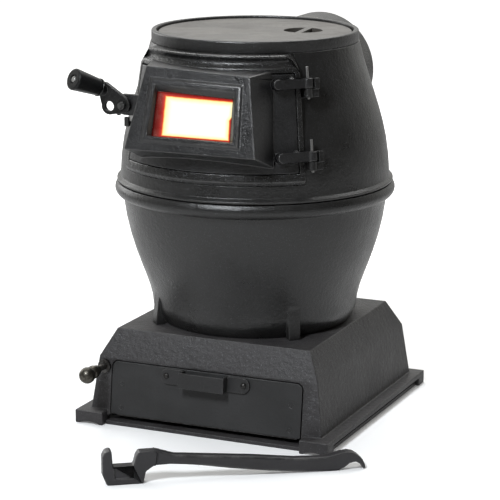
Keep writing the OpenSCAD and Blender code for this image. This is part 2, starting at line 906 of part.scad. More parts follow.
module ash_pan() {
    y1 = pan_y0 + pan_d;
    color([0.28, 0.28, 0.29])
    difference() {
        union() {
            difference() {
                block([-pan_half, pan_y0, pan_z], [pan_half, y1, pan_z + pan_h]);
                block([-pan_half + pan_t, pan_y0 + pan_t, pan_z + pan_t], [pan_half - pan_t, y1 - pan_t, pan_z + pan_h + over]);
            }
            // Wedge that fills between the leaning drawer front and the pan's upright wall
            intersection() {
                front_slab(front_t, front_t + 30, pan_z, pan_z + pan_h);
                block([-pan_half, -far, pan_z], [pan_half, pan_y0 + pan_t / 2, pan_z + pan_h]);
            }
        }
        at_front_rivets()
            along_y(0, 0, -far, pan_y0 + pan_t + over, rivet_r);
    }
}

module drawer_front() {
    color([0.22, 0.22, 0.23])
    difference() {
        intersection() {
            front_slab(0, front_t, front_z0, front_z1);
            rotate([90, 0, 0])
                linear_extrude(far)
                    bay2d(front_half, front_z0, front_z1);
        }
        at_front_rivets()
            along_y(0, 0, -far, 0, rivet_r);
        at_pull_rivets()
            along_y(0, 0, -pull_out, pull_out, rivet_r);
    }
}

module front_rivets() {
    color([0.30, 0.30, 0.31])
    intersection() {
        at_front_rivets()
            along_y(0, 0, -wall_foot, pan_y0 + pan_t + 2, rivet_r);
        front_slab(0, far, front_z0, front_z1);
    }
}

pull_z = front_z1 - pull_h / 2 - 0.5;
tab_r = pull_h / 2;
pull_tab = pull_half + 19.5;

module at_pull_rivets() {
    for (s = [-1, 1])
        translate([s * (pull_tab + 2), -wall_at(pull_z), pull_z])
            rotate([-atan(wall_lean), 0, 0])
                children();
}

// Bent strap: raised middle, a side wall each way and two round-ended tabs
module drawer_pull() {
    top = pull_z + pull_h / 2;
    foot = pull_z - pull_h / 2;
    color([0.23, 0.23, 0.24])
    difference() {
        union() {
            intersection() {
                front_slab(-pull_out, -pull_out + pull_t, foot, top);
                block([-pull_half, -far, foot], [pull_half, 0, top]);
            }
            for (s = [-1, 1])
                intersection() {
                    front_slab(-pull_out, 0, foot, top);
                    translate([s * (pull_half - pull_t / 2), 0, 0])
                        block([-pull_t / 2, -far, foot], [pull_t / 2, 0, top]);
                }
            for (s = [-1, 1])
                intersection() {
                    front_slab(-pull_t, 0, foot, top);
                    rotate([90, 0, 0])
                        linear_extrude(far) {
                            translate([s * pull_tab, pull_z])
                                circle(tab_r);
                            translate([s > 0 ? pull_half - pull_t : -pull_tab, pull_z - tab_r])
                                square([pull_tab - pull_half + pull_t, 2 * tab_r]);
                        }
                }
        }
        at_pull_rivets()
            along_y(0, 0, -pull_out, pull_out, rivet_r);
    }
}

module pull_rivets() {
    color([0.52, 0.51, 0.49])
    at_pull_rivets() {
        along_y(0, 0, -pull_t - 1, front_t + 1.5, rivet_r);
        intersection() {
            translate([0, -pull_t + 1.5, 0])
                sphere(4.2);
            along_y(0, 0, -pull_t - 4, -pull_t, 4.2);
        }
    }
}

// ---- Door ----------------------------------------------------------------------------

box_top_z = door_top_z + 5;
box_top_y = -cone_at(box_top_z) - box_stand;
box_foot_z = door_foot_z + 25.5;
front_lean = tan(front_tilt);
function front_y(z) = box_top_y - (box_top_z - z) * front_lean;
box_back_y = -frame_r + 26;
// The housing's top edge and the window's are not quite level.
box_tilt = 2.6;
bezel_tilt = 1.4;
win_tilt = 2;
win_shift = 2;
win_rise = 1;
win_z = door_foot_z + 67.2;

// Places its children on the housing's front at the window's middle: y inwards, z up the slope
module on_front() {
    translate([0, front_y(win_z), win_z])
        rotate([-front_tilt, 0, 0])
            children();
}

slope_top = (box_top_z - win_z) / cos(front_tilt);
slope_foot = (box_foot_z - win_z) / cos(front_tilt);
// Half width of the housing's front at height z up the slope
function box_half_at(z) = box_half_foot + (box_half_top - box_half_foot) * (z - slope_foot) / (slope_top - slope_foot);

// Solid of the window housing, moved inwards by t
module housing(t, back) {
    loft4(
        outline4(box_half_foot - 1.05 * t, front_y(box_foot_z + t) + t, box_foot_z + t,
            box_half_top - 1.05 * t, front_y(box_top_z - t) + t, box_top_z - t, box_tilt, front_lean),
        outline4(box_half_foot + 3 - t, back, box_foot_z - 27.5 + t,
            box_half_top + 12 - t, back, box_top_z + 2.5 - t, box_tilt));
}

bezel_top = 40;
bezel_foot = -30.5;
bezel_rim = 4.5;
bezel_out = 2.5;
bezel_deep = 4.5;
bezel_half_top = 57;
bezel_half_foot = 61;
// Bezel outline on the housing's front, grown by g, at depth y
function bezel4(g, y) = outline4(bezel_half_foot + g, y, bezel_foot - g, bezel_half_top + g, y, bezel_top + g, bezel_tilt);
// Window opening's outline, at depth y
function window4(y) = [for (p = outline4(win_half + 0.8, y, win_rise - win_h / 2, win_half - 0.8, y, win_rise + win_h / 2, win_tilt))
    p - [win_shift, 0, 0]];

glass_y = box_t + 2;
glass_half = 57;
glass_half_h = 31;
retainer_half = 64.5;
retainer_half_h = 34;
retainer_t = 2.5;
gasket_w = 2.5;
screw_x = 61;
screw_zs = [-16, 14];
screw_small_r = 1.6;

module at_retainer_screws() {
    for (s = [-1, 1], z = screw_zs)
        translate([s * screw_x, 0, z])
            children();
}

// Outline of a strap, a little wider at its round end, from there as far as x = -from,
// and drawn in by less all round
module strap2d(from, less = 0) {
    end_half = strap_end_r - 0.2 - less;
    half = strap_half - less;
    slope = (half - end_half) / strap_len;
    polygon([[-strap_len, -end_half], [-from, -half + slope * from], [-from, half - slope * from],
        [-strap_len, end_half]]);
    translate([-strap_len, 0])
        circle(strap_end_r - less);
}

// Moving half of a hinge: a bar from the door plate to an eye round the pin
module door_strap(z) {
    on_hinge(z)
        difference() {
            union() {
                translate([0, 0, -strap_half])
                    cylinder(r = eye_r, h = 2 * strap_half);
                translate([0, 4, 0])
                    rotate([90, 0, 0])
                        linear_extrude(8.5)
                            strap2d(0);
                translate([0, hinge_off + strap_sink, 0])
                    rotate([90, 0, 0])
                        linear_extrude(hinge_off + strap_sink + 2)
                            strap2d(17, 0.6);
                translate([-20.3, -0.1, strap_half - 2])
                    cylinder(r1 = 4.1, r2 = 2.4, h = 5);
            }
            translate([0, 0, -strap_half - over])
                cylinder(r = pin_r + run_gap, h = 2 * (strap_half + over), $fn = 48);
        }
}

module door() {
    color([0.23, 0.23, 0.24])
    difference() {
        union() {
            intersection() {
                cone_band(-door_t, 0, door_foot_z, door_top_z);
                sector(-door_half, door_half, door_foot_z - 5, door_top_z + 5);
            }
            difference() {
                housing(0, box_back_y);
                // The housing stays in front of the frame, and level with the plate's back.
                cone_band(-far / 4, seat_gap * 2, door_top_z - 0.01, door_top_z + far / 8);
                cone_band(-far / 4, -door_t, door_foot_z - 20, door_top_z);
                block([-far, -far, door_foot_z - 50], [far, far, door_foot_z]);
            }
            on_front()
                loft4(bezel4(0, -bezel_out), bezel4(bezel_rim, 1));
            door_strap(hinge_high);
            door_strap(hinge_low);
            // Ear for the latch pivot, at the door plate's left edge
            along_y(pivot_x, latch_z, ear_front, ear_back, latch_ear_r);
            block([pivot_x, ear_front, latch_z - latch_ear_r], [-98, ear_back, latch_z + latch_ear_r]);
        }
        difference() {
            housing(box_t, box_back_y + 40);
            on_front()
                at_retainer_screws()
                    along_y(0, 0, 0, glass_y + glass_t, 3.4);
        }
        on_front() {
            loft4(bezel4(-bezel_rim, -bezel_out - over), window4(bezel_deep));
            loft4(window4(bezel_deep - 0.5), window4(box_t + 4));
        }
        on_front()
            at_retainer_screws()
                along_y(0, 0, 3, glass_y + glass_t + over, screw_small_r);
        along_y(pivot_x, latch_z, ear_front - over, ear_back + over, pivot_r + run_gap);
    }
}

module door_gasket() {
    color([0.62, 0.60, 0.55])
    difference() {
        intersection() {
            cone_band(-rebate + 0.4, -door_t, door_foot_z + 1, door_top_z - 1);
            sector(-door_half + 0.5, door_half - 0.5, door_foot_z, door_top_z);
        }
        intersection() {
            cone_band(-rebate - over, over, door_foot_z + inner_margin, door_top_z - inner_margin);
            sector(-inner_half, inner_half, door_foot_z, door_top_z);
        }
        housing(box_t, box_back_y + 40);
    }
}

module glass_pane(grow, y0, y1) {
    block([-glass_half + grow, y0, -glass_half_h + grow], [glass_half - grow, y1, glass_half_h - grow]);
}

module window_glass() {
    color([1.0, 0.75, 0.35])
    on_front()
        glass_pane(0, glass_y, glass_y + glass_t);
}

module glass_gasket() {
    color([0.62, 0.60, 0.55])
    on_front()
        difference() {
            glass_pane(0, box_t, glass_y);
            glass_pane(gasket_w, box_t - over, glass_y + over);
        }
}

module glass_retainer() {
    y0 = glass_y + glass_t;
    color([0.30, 0.30, 0.30])
    on_front()
        difference() {
            block([-retainer_half, y0, -retainer_half_h], [retainer_half, y0 + retainer_t, retainer_half_h]);
            glass_pane(gasket_w, y0 - over, y0 + retainer_t + over);
            at_retainer_screws()
                along_y(0, 0, y0 - over, y0 + retainer_t + over, screw_small_r);
        }
}

module retainer_screws() {
    y0 = glass_y + glass_t + retainer_t;
    color([0.50, 0.49, 0.47])
    on_front()
        at_retainer_screws() {
            along_y(0, 0, 5, y0 + 0.5, screw_small_r);
            along_y(0, 0, y0, y0 + 2.4, 3.2, 2.4);
        }
}

// ---- Latch ---------------------------------------------------------------------------

lever_hub_r = 10;
lever_ring_r = 10.5;
ring_at = [-17.5, -2.2];
socket_at = [-26.7, 18.1];
socket_r = 8;
grip_turn = 27;
grip_rise = 20.5;
ferrule_at = 6;
ferrule_t = 2;
grip_at = ferrule_at + ferrule_t;
grip_end = grip_at + grip_len;
grip_neck_r = 10.5;
grip_bolt_r = 3;
cam_angle = 225;

// Places its children on the grip's axis: z runs outwards from the lever
module on_grip() {
    translate([pivot_x + socket_at[0], (lever_front + lever_back) / 2, latch_z + socket_at[1]])
        rotate([90 - grip_rise, 0, -grip_turn])
            children();
}

module latch_lever() {
    color([0.16, 0.16, 0.17])
    difference() {
        union() {
            translate([pivot_x, lever_back, latch_z])
                rotate([90, 0, 0])
                    linear_extrude(lever_t) {
                        link2d([0, 0], lever_hub_r, ring_at, lever_ring_r);
                        link2d([-1, 1.5], lever_hub_r, socket_at + [3, 1.5], socket_r - 1);
                        link2d(ring_at, lever_ring_r - 0.5, socket_at, socket_r - 2);
                    }
            on_grip()
                translate([0, 0, -4])
                    cylinder(r = socket_r, h = ferrule_at + 4);
        }
        translate([pivot_x + ring_at[0], lever_back + over, latch_z + ring_at[1]])
            rotate([90, 0, 0])
                cylinder(r = lever_eye_r, h = lever_t + 2 * over);
        along_y(pivot_x, latch_z, lever_front - over, lever_back + over, pivot_r);
        on_grip()
            translate([0, 0, -12])
                cylinder(r = grip_bolt_r, h = 30);
    }
}

module latch_bolt() {
    color([0.45, 0.44, 0.42])
    union() {
        along_y(pivot_x, latch_z, lever_front - 1, cam_front + cam_t + 5.5, pivot_r);
        along_y(pivot_x, latch_z, lever_front - 3.5, lever_front, 4.5, 6.2);
    }
}

module latch_cam() {
    color([0.28, 0.28, 0.28])
    translate([pivot_x, cam_front + cam_t, latch_z])
        rotate([90, 0, 0])
            linear_extrude(cam_t)
                difference() {
                    union() {
                        circle(6.5);
                        rotate(cam_angle)
                            polygon([[0, -cam_half], [cam_len - 1.5, -cam_half], [cam_len, -cam_half + 1.5],
                                [cam_len, cam_half - 1.5], [cam_len - 1.5, cam_half], [0, cam_half]]);
                    }
                    circle(pivot_r);
                }
}

module latch_nut() {
    color([0.45, 0.44, 0.42])
    difference() {
        translate([pivot_x, cam_front + cam_t, latch_z])
            rotate([-90, 0, 0])
                hex(9.6, 4);
        along_y(pivot_x, latch_z, cam_front + cam_t - over, cam_front + cam_t + 4 + over, pivot_r);
    }
}

module grip_ferrule() {
    color([0.40, 0.39, 0.37])
    on_grip()
        translate([0, 0, ferrule_at])
            difference() {
                cylinder(r = grip_neck_r + 0.6, h = ferrule_t);
                translate([0, 0, -over])
                    cylinder(r = grip_bolt_r, h = ferrule_t + 2 * over);
            }
}

// Tapered grip with rounded ends and a counterbore for its bolt
module hand_grip() {
    round_r = 2.5;
    color([0.07, 0.07, 0.08])
    on_grip()
        rotate_extrude()
            polygon(concat(
                [[grip_bolt_r, grip_at], [grip_neck_r - 1, grip_at], [grip_neck_r, grip_at + 1]],
                arc([grip_r - round_r, grip_end - round_r], round_r, 0, 90, 5),
                [[5.5, grip_end], [5.5, grip_end - 3], [grip_bolt_r, grip_end - 3]]));
}

module grip_bolt() {
    color([0.40, 0.39, 0.38])
    on_grip()
        union() {
            translate([0, 0, -5])
                cylinder(r = grip_bolt_r, h = grip_end + 3);
            translate([0, 0, grip_end - 3])
                cylinder(r1 = 4.8, r2 = 3.6, h = 2.6);
        }
}

// ---- Lid -----------------------------------------------------------------------------

pocket_at = [54, 25];
pocket_deep = 12;
bar_w = 8;
bar_t = 4;
bar_turn = 6;

module lid() {
    color([0.30, 0.29, 0.28])
    difference() {
        union() {
            translate([0, 0, lid_top - lid_t])
                rotate_extrude($fn = 128)
                    polygon([[0, 0], [lid_r, 0], [lid_r, lid_t - 1.5], [lid_r - 1.5, lid_t], [0, lid_t]]);
            // Locating ring inside the rim's ledge, and the cup under the pocket
            translate([0, 0, lid_top - lid_t - 3])
                difference() {
                    cylinder(r = lid_ledge_r - 1.5, h = 3 + over);
                    translate([0, 0, -over])
                        cylinder(r = lid_ledge_r - 6, h = 4);
                }
            translate([pocket_at[0], pocket_at[1], lid_top - pocket_deep - 4])
                cylinder(r = pocket_r + 4, h = pocket_deep);
        }
        translate([pocket_at[0], pocket_at[1], 0])
            difference() {
                translate([0, 0, lid_top - pocket_deep])
                    cylinder(r = pocket_r, h = pocket_deep + over);
                rotate([0, 0, bar_turn])
                    block([-bar_w / 2, -pocket_r - over, lid_top - bar_t], [bar_w / 2, pocket_r + over, lid_top + 2]);
            }
    }
    color([0.30, 0.29, 0.28])
    intersection() {
        translate([pocket_at[0], pocket_at[1], lid_top - bar_t])
            rotate([0, 0, bar_turn])
                translate([-bar_w / 2, -pocket_r - over, 0])
                    cube([bar_w, 2 * pocket_r + 2 * over, bar_t]);
        cylinder(r = lid_r, h = far * 2);
    }
}

// ---- Lifter --------------------------------------------------------------------------

lifter_at = [-27.2, -366.5];
lifter_turn = 35;
fork_h = 42;
fork_gap = 28;
fork_prong = 11;
fork_floor = 22;
neck_top = 38;
beak_h = 22.5;
shaft_w = 13;

// Side outline of the shaft, which slopes from the fork head down to the floor and ends in a beak
module shaft2d() {
    l = lifter_len;
    polygon([[44, 12], [50, 17], [60, 20.5], [78, 21.5], [114, 16.5], [150, 10.5], [195, 4.5], [235, 1], [255, 0],
        [l - 33, 0.5], [l - 26, 3], [l - 19, 8], [l - 12, 9.5], [l - 6, 6], [l - 3, 0], [l, 0.8], [l - 1, 6],
        [l - 4, 12], [l - 9, 17], [l - 15, 21], [l - 22, beak_h], [l - 30, beak_h - 1], [l - 40, 19], [l - 52, 17.5],
        [225, 18.5], [172, 24.5], [114, 29.5], [84, 32], [75, 34], [66, neck_top - 1], [60, neck_top], [44, neck_top]]);
}

module lifter() {
    color([0.20, 0.20, 0.21])
    translate([lifter_at[0], lifter_at[1], 0])
        rotate([0, 0, lifter_turn])
            difference() {
                union() {
                    translate([0, fork_t, 0])
                        rotate([90, 0, 0])
                            linear_extrude(fork_t)
                                polygon([[5, 0], [47, 0], [50, 14], [62, 22], [64, neck_top - 2], [60, neck_top],
                                    [fork_prong + fork_gap + 3, neck_top], [fork_prong + fork_gap, neck_top - 5],
                                    [fork_prong + fork_gap - 3, fork_floor], [fork_prong + 1, fork_floor],
                                    [fork_prong, fork_h - 2], [fork_prong - 3, fork_h], [3, fork_h - 2], [0, fork_h - 8], [0, 12]]);
                    translate([0, (fork_t + shaft_w) / 2, 0])
                        rotate([90, 0, 0])
                            linear_extrude(shaft_w)
                                shaft2d();
                }
                // Shallow square recess in the fork head's face
                block([14, -over, 7], [34, 2.5, fork_floor - 1.5]);
            }
}

base_casting();
floor_plate();
plate_screws();
rod_bushing();
fire_pot();
pot_bolts();
belly_seal();
upper_body();
door_frame();
top_ring();
flue_neck();
latch_keeper();
hinge_pins();
flue_collar();
collar_gasket();
collar_bolts();
grate();
crank_arm();
crank_bolt();
shaker_rod();
rod_knob();
ash_pan();
drawer_front();
front_rivets();
drawer_pull();
pull_rivets();
door();
door_gasket();
window_glass();
glass_gasket();
glass_retainer();
retainer_screws();
latch_lever();
latch_bolt();
latch_cam();
latch_nut();
grip_ferrule();
hand_grip();
grip_bolt();
lid();
lifter();
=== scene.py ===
# %% [markdown]
# # A cast-iron potbelly stove, dressed in Blender
# The stove's solids come packed from CAD, in metres, standing on z = 0 with the door towards -Y.
# This script gives them their looks: soft casting edges, sand-cast grain, satin black coats,
# rubbed corners, hot glass, and a plain studio. The solids could be modelled again here, but a
# second model would drift from the drawing, so each solid is copied, finished and put in its place.

# %% Load the solids and note their box
import bmesh
import bpy
import json
import math
from mathutils import Matrix, Vector


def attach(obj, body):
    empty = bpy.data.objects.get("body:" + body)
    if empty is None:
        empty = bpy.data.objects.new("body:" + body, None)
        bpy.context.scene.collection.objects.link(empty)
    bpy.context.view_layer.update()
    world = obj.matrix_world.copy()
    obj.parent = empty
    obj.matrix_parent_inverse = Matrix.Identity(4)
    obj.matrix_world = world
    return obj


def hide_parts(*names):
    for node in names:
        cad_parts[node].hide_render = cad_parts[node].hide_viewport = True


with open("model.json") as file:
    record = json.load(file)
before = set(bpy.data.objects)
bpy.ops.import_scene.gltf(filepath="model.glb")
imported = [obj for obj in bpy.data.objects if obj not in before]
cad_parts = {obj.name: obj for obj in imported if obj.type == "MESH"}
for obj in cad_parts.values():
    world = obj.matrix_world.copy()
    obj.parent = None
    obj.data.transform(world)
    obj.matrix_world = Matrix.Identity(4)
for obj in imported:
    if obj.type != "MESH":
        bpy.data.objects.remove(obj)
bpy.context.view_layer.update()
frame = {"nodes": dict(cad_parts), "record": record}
bodies = frame["record"]["behaviour"]["bodies"]
body_of = {node: body for body, nodes in bodies.items() for node in nodes}
print("nodes:", len(body_of), "bodies:", len(bodies))

# %% [markdown]
# ## Camera
# The photograph was taken from a little to the right of the front and from just above the lid,
# with a long lens. A camera could be moved by hand until it looks right. Matching the square base,
# the round rim and the belly joint with their places in the picture is more exact, and the numbers
# below are the result: a turn to the right, a tilt downwards, and a lens for a square picture.

# %% Place the camera
camera_turn = math.radians(24.02)
camera_tilt = math.radians(13.30)
camera_place = (1.06643, -2.40844, 0.82298)
sensor_width, picture_width = 36, 500
lens_in_pixels = 2138.7

camera_data = bpy.data.cameras.new("camera")
camera_data.sensor_width = sensor_width
camera_data.lens = sensor_width * lens_in_pixels / picture_width
camera_data.clip_start, camera_data.clip_end = 0.05, 50
camera = bpy.data.objects.new("camera", camera_data)
bpy.context.scene.collection.objects.link(camera)
ahead = Vector((-math.sin(camera_turn) * math.cos(camera_tilt),
                math.cos(camera_turn) * math.cos(camera_tilt), -math.sin(camera_tilt)))
right = ahead.cross(Vector((0, 0, 1))).normalized()
up = right.cross(ahead)
turned = Matrix((right, up, -ahead)).transposed().to_4x4()
camera.matrix_world = Matrix.Translation(camera_place) @ turned
bpy.context.scene.camera = camera
print("camera looks along", [round(v, 3) for v in ahead], "lens", round(camera_data.lens, 1))

# %% [markdown]
# ## Wiring shader nodes
# A procedural finish is a small network of nodes. Adding each node by hand takes many lines, so
# these helpers add one node, feed it with either a plain number or another node's output, and give
# back its output. The same helpers serve the shared groups and the materials.

# %% Helpers that add and feed nodes
def add_node(tree, kind, **settings):
    node = tree.nodes.new(kind)
    for key, value in settings.items():
        setattr(node, key, value)
    return node


def feed(tree, socket, value):
    if isinstance(value, bpy.types.NodeSocket):
        tree.links.new(value, socket)
    elif hasattr(value, "__len__") and len(value) == 3 and socket.type == "RGBA":
        socket.default_value = (*value, 1)
    else:
        socket.default_value = value


print("nodes can be added and fed")


# %% Helpers for sums, ranges and mixed colours
def maths(tree, operation, first, second, clamp=False):
    node = add_node(tree, "ShaderNodeMath", operation=operation, use_clamp=clamp)
    feed(tree, node.inputs[0], first)
    feed(tree, node.inputs[1], second)
    return node.outputs[0]


def times(tree, first, second, clamp=False):
    return maths(tree, "MULTIPLY", first, second, clamp)


def plus(tree, first, second, clamp=False):
    return maths(tree, "ADD", first, second, clamp)


def fit_range(tree, value, low, high, to_low=0.0, to_high=1.0):
    node = add_node(tree, "ShaderNodeMapRange")
    for socket, number in zip(node.inputs, (value, low, high, to_low, to_high)):
        feed(tree, socket, number)
    return node.outputs[0]


def mix_colours(tree, amount, first, second):
    node = add_node(tree, "ShaderNodeMix", data_type="RGBA")
    amount_socket, first_socket, second_socket, colour_output = 0, 6, 7, 2
    for index, value in ((amount_socket, amount), (first_socket, first), (second_socket, second)):
        feed(tree, node.inputs[index], value)
    return node.outputs[colour_output]


print("numbers and colours can be mixed")

# %% [markdown]
# A pattern has to stay on its piece when the door or the drawer moves. Texture space, world space
# and camera space all let it slide or stretch. Object coordinates don't, and they are in metres,
# so the size of a grain can be given as on the real casting.


# %% Helpers for patterns on the object's own coordinates
def own_place(tree, stretch=(1, 1, 1), turn=(0, 0, 0), centre=(0, 0, 0)):
    place = add_node(tree, "ShaderNodeTexCoord").outputs["Object"]
    mapping = add_node(tree, "ShaderNodeMapping", vector_type="TEXTURE")
    feed(tree, mapping.inputs["Vector"], place)
    mapping.inputs["Location"].default_value = centre
    mapping.inputs["Rotation"].default_value = turn
    mapping.inputs["Scale"].default_value = stretch
    return mapping.outputs[0]


def noise(tree, place, per_metre, detail, rough=0.55):
    node = add_node(tree, "ShaderNodeTexNoise")
    feed(tree, node.inputs["Vector"], place)
    feed(tree, node.inputs["Scale"], per_metre)
    feed(tree, node.inputs["Detail"], detail)
    feed(tree, node.inputs["Roughness"], rough)
    return node.outputs[0]


print("patterns follow their piece")

# %% [markdown]
# ## Effects that many finishes share
# Sand-cast skin, rubbed edges, settled dust and fine scratches turn up on nearly every piece. They
# could be wired into each material again and again. Instead each is built once as a node group
# that puts out plain masks and heights, and every material places it with its own values.


# %% Start a shared group
def start_group(name, inputs, outputs):
    group = bpy.data.node_groups.new(name, "ShaderNodeTree")
    for label, value in inputs.items():
        socket = group.interface.new_socket(label, in_out="INPUT", socket_type="NodeSocketFloat")
        socket.default_value = value
    for label in outputs:
        group.interface.new_socket(label, in_out="OUTPUT", socket_type="NodeSocketFloat")
    given = group.nodes.new("NodeGroupInput").outputs
    return group, given, group.nodes.new("NodeGroupOutput").inputs


print("groups can be started")

# %% [markdown]
# A sand casting keeps the print of its mould: sharp grains of sand, a softer orange-peel between
# them, and pinholes. An image of iron would repeat and blur. Noise at two sizes gives the skin,
# round cells give the pinholes, and their sizes all follow one value, the grains per metre, so a
# coarse and a fine casting come from the same group. A third noise picks a few grains for painted
# glints: spots of lighter colour that stand in for highlights.

# %% Sand-cast skin
peel_size, hole_size, painted_glint_size = 0.3, 0.36, 1.25  # times the grains per metre
sand_height, peel_height = 0.55, 1.1

cast_skin, given, out = start_group(
    "cast_skin", {"Grains per Metre": 900.0}, ["Height", "Mottle", "Pits", "Painted Glints"])
place = own_place(cast_skin)
sand = noise(cast_skin, place, given[0], 4, 0.65)
peel = noise(cast_skin, place, times(cast_skin, given[0], peel_size), 2, 0.5)
cells = add_node(cast_skin, "ShaderNodeTexVoronoi")
feed(cast_skin, cells.inputs["Vector"], place)
feed(cast_skin, cells.inputs["Scale"], times(cast_skin, given[0], hole_size))
holes = fit_range(cast_skin, cells.outputs["Distance"], 0.10, 0.34, 1, 0)
some = fit_range(cast_skin, noise(cast_skin, place, 90, 2), 0.40, 0.70)
clouds = noise(cast_skin, place, 17, 5, 0.62)
# This mask marks the grains that get a painted glint, a lighter colour in place of a highlight.
painted_glint_noise = noise(cast_skin, place, times(cast_skin, given[0], painted_glint_size), 1)
sand_bumps = times(cast_skin, sand, sand_height)
feed(cast_skin, out["Height"], plus(cast_skin, sand_bumps, times(cast_skin, peel, peel_height)))
feed(cast_skin, out["Mottle"], fit_range(cast_skin, clouds, 0.33, 0.67))
feed(cast_skin, out["Pits"], times(cast_skin, holes, some, clamp=True))
feed(cast_skin, out["Painted Glints"], fit_range(cast_skin, painted_glint_noise, 0.64, 0.74))
print("cast_skin:", len(cast_skin.nodes), "nodes")

# %% [markdown]
# Hands, tools and the coal scuttle rub a casting where it sticks out, so its corners turn from
# black to grey. A pointiness node could find the corners, but it needs a much denser mesh. So the
# bevelled corners further down carry an attribute named worn. Here it is broken up with noise, so
# the wear comes and goes along an edge.

# %% Rubbed edges
rubbed_edges, given, out = start_group("rubbed_edges", {"Amount": 0.6}, ["Mask"])
place = own_place(rubbed_edges)
worn = add_node(rubbed_edges, "ShaderNodeAttribute", attribute_name="worn").outputs["Fac"]
patchy = fit_range(rubbed_edges, noise(rubbed_edges, place, 45, 4, 0.6), 0.36, 0.60)
nicks = fit_range(rubbed_edges, noise(rubbed_edges, place, 420, 2), 0.35, 0.65, 0.45, 1.0)
rub = times(rubbed_edges, times(rubbed_edges, worn, patchy), nicks)
feed(rubbed_edges, out["Mask"], times(rubbed_edges, rub, given[0], clamp=True))
print("rubbed_edges:", len(rubbed_edges.nodes), "nodes")

# %% [markdown]
# Fine ash and dust settle where a face looks up, and a cloth or a draught takes some of it away
# again. Painting it by hand would miss ledges. The upward part of the normal finds every ledge by
# itself, and a cloudy noise makes the layer uneven.

# %% Settled dust
least_upward, fully_upward = 0.25, 0.95

settled_dust, given, out = start_group("settled_dust", {"Amount": 0.3}, ["Mask"])
place = own_place(settled_dust)
facing = add_node(settled_dust, "ShaderNodeSeparateXYZ")
geometry = add_node(settled_dust, "ShaderNodeNewGeometry")
feed(settled_dust, facing.inputs[0], geometry.outputs["Normal"])
upward = fit_range(settled_dust, facing.outputs["Z"], least_upward, fully_upward)
cloudy = fit_range(settled_dust, noise(settled_dust, place, 28, 6, 0.68), 0.34, 0.72)
layer = times(settled_dust, upward, cloudy)
feed(settled_dust, out["Mask"], times(settled_dust, layer, given[0], clamp=True))
print("settled_dust:", len(settled_dust.nodes), "nodes")

# %% [markdown]
# Wiping and handling leave hairlines, less than a millimetre wide and about two centimetres long.
# A picture of scratches would need a flat map of every piece. Noise that is stretched along one
# direction gives long thin streaks in space, and three directions over each other look like use.

# %% Fine scratches
streak_length, streak_width = 0.02, 0.0011

fine_scratches, given, out = start_group("fine_scratches", {"Amount": 0.4}, ["Mask"])
layers = []
for turn in (0.35, 1.35, 2.5):
    long_grain = own_place(fine_scratches, stretch=(streak_length, streak_width, streak_width),
                           turn=(turn * 0.6, turn, turn * 1.7))
    layers.append(fit_range(fine_scratches, noise(fine_scratches, long_grain, 1.0, 1), 0.66, 0.72))
lines = maths(fine_scratches, "MAXIMUM", layers[0], layers[1])
lines = maths(fine_scratches, "MAXIMUM", lines, layers[2])
feed(fine_scratches, out["Mask"], times(fine_scratches, lines, given[0], clamp=True))
print("groups:", sorted(g.name for g in bpy.data.node_groups))

# %% [markdown]
# Every finish starts in the same way: a new material, the shared groups placed in it, and a bump
# at the end. A bump only bends the light, which is right for grain that is far finer than the
# mesh. Larger shapes are real geometry.


# %% Helpers that start a material
def new_material(name):
    material = bpy.data.materials.new(name)
    material.use_nodes = True
    return material, material.node_tree, material.node_tree.nodes["Principled BSDF"]


def place_group(tree, group, value):
    node = add_node(tree, "ShaderNodeGroup", node_tree=group)
    node.inputs[0].default_value = value
    return node.outputs


def raise_bumps(tree, shader, height, depth):
    bump = add_node(tree, "ShaderNodeBump")
    bump.inputs["Distance"].default_value = depth
    bump.inputs["Strength"].default_value = 1.0
    feed(tree, bump.inputs["Height"], height)
    feed(tree, shader.inputs["Normal"], bump.outputs[0])


def scaled(colour, by):
    return [part * by for part in colour]


print("materials can be started")

# %% [markdown]
# ## Stove iron
# The castings are blacked with stove paint or polish: a dark satin coat that follows the sand
# grain, thinner and greyer on the corners, with a breath of ash dust on every ledge. A plain black
# with one gloss would look like plastic. So the coat is mottled, dusty where it looks up and rubbed
# at the corners, and the gloss changes with it. Light is painted into the coat as well: a painted
# shade darkens the pinholes, and a few grains get a lighter colour as painted glints.

# %% The recipe for blacked iron
# Colour of the painted glints: a pale grey that stands in for the sparkle of a few grains.
painted_glint_colour = (0.22, 0.23, 0.25)
# Painted shade: the pinholes get a darker coat colour, as shade would fall in them.
pit_shade_share, pit_painted_shade, pit_roughness = 0.3, 0.35, 0.06
mottle_roughness, dust_roughness, rub_gloss, rub_metal = 0.07, 0.25, 0.04, 0.3


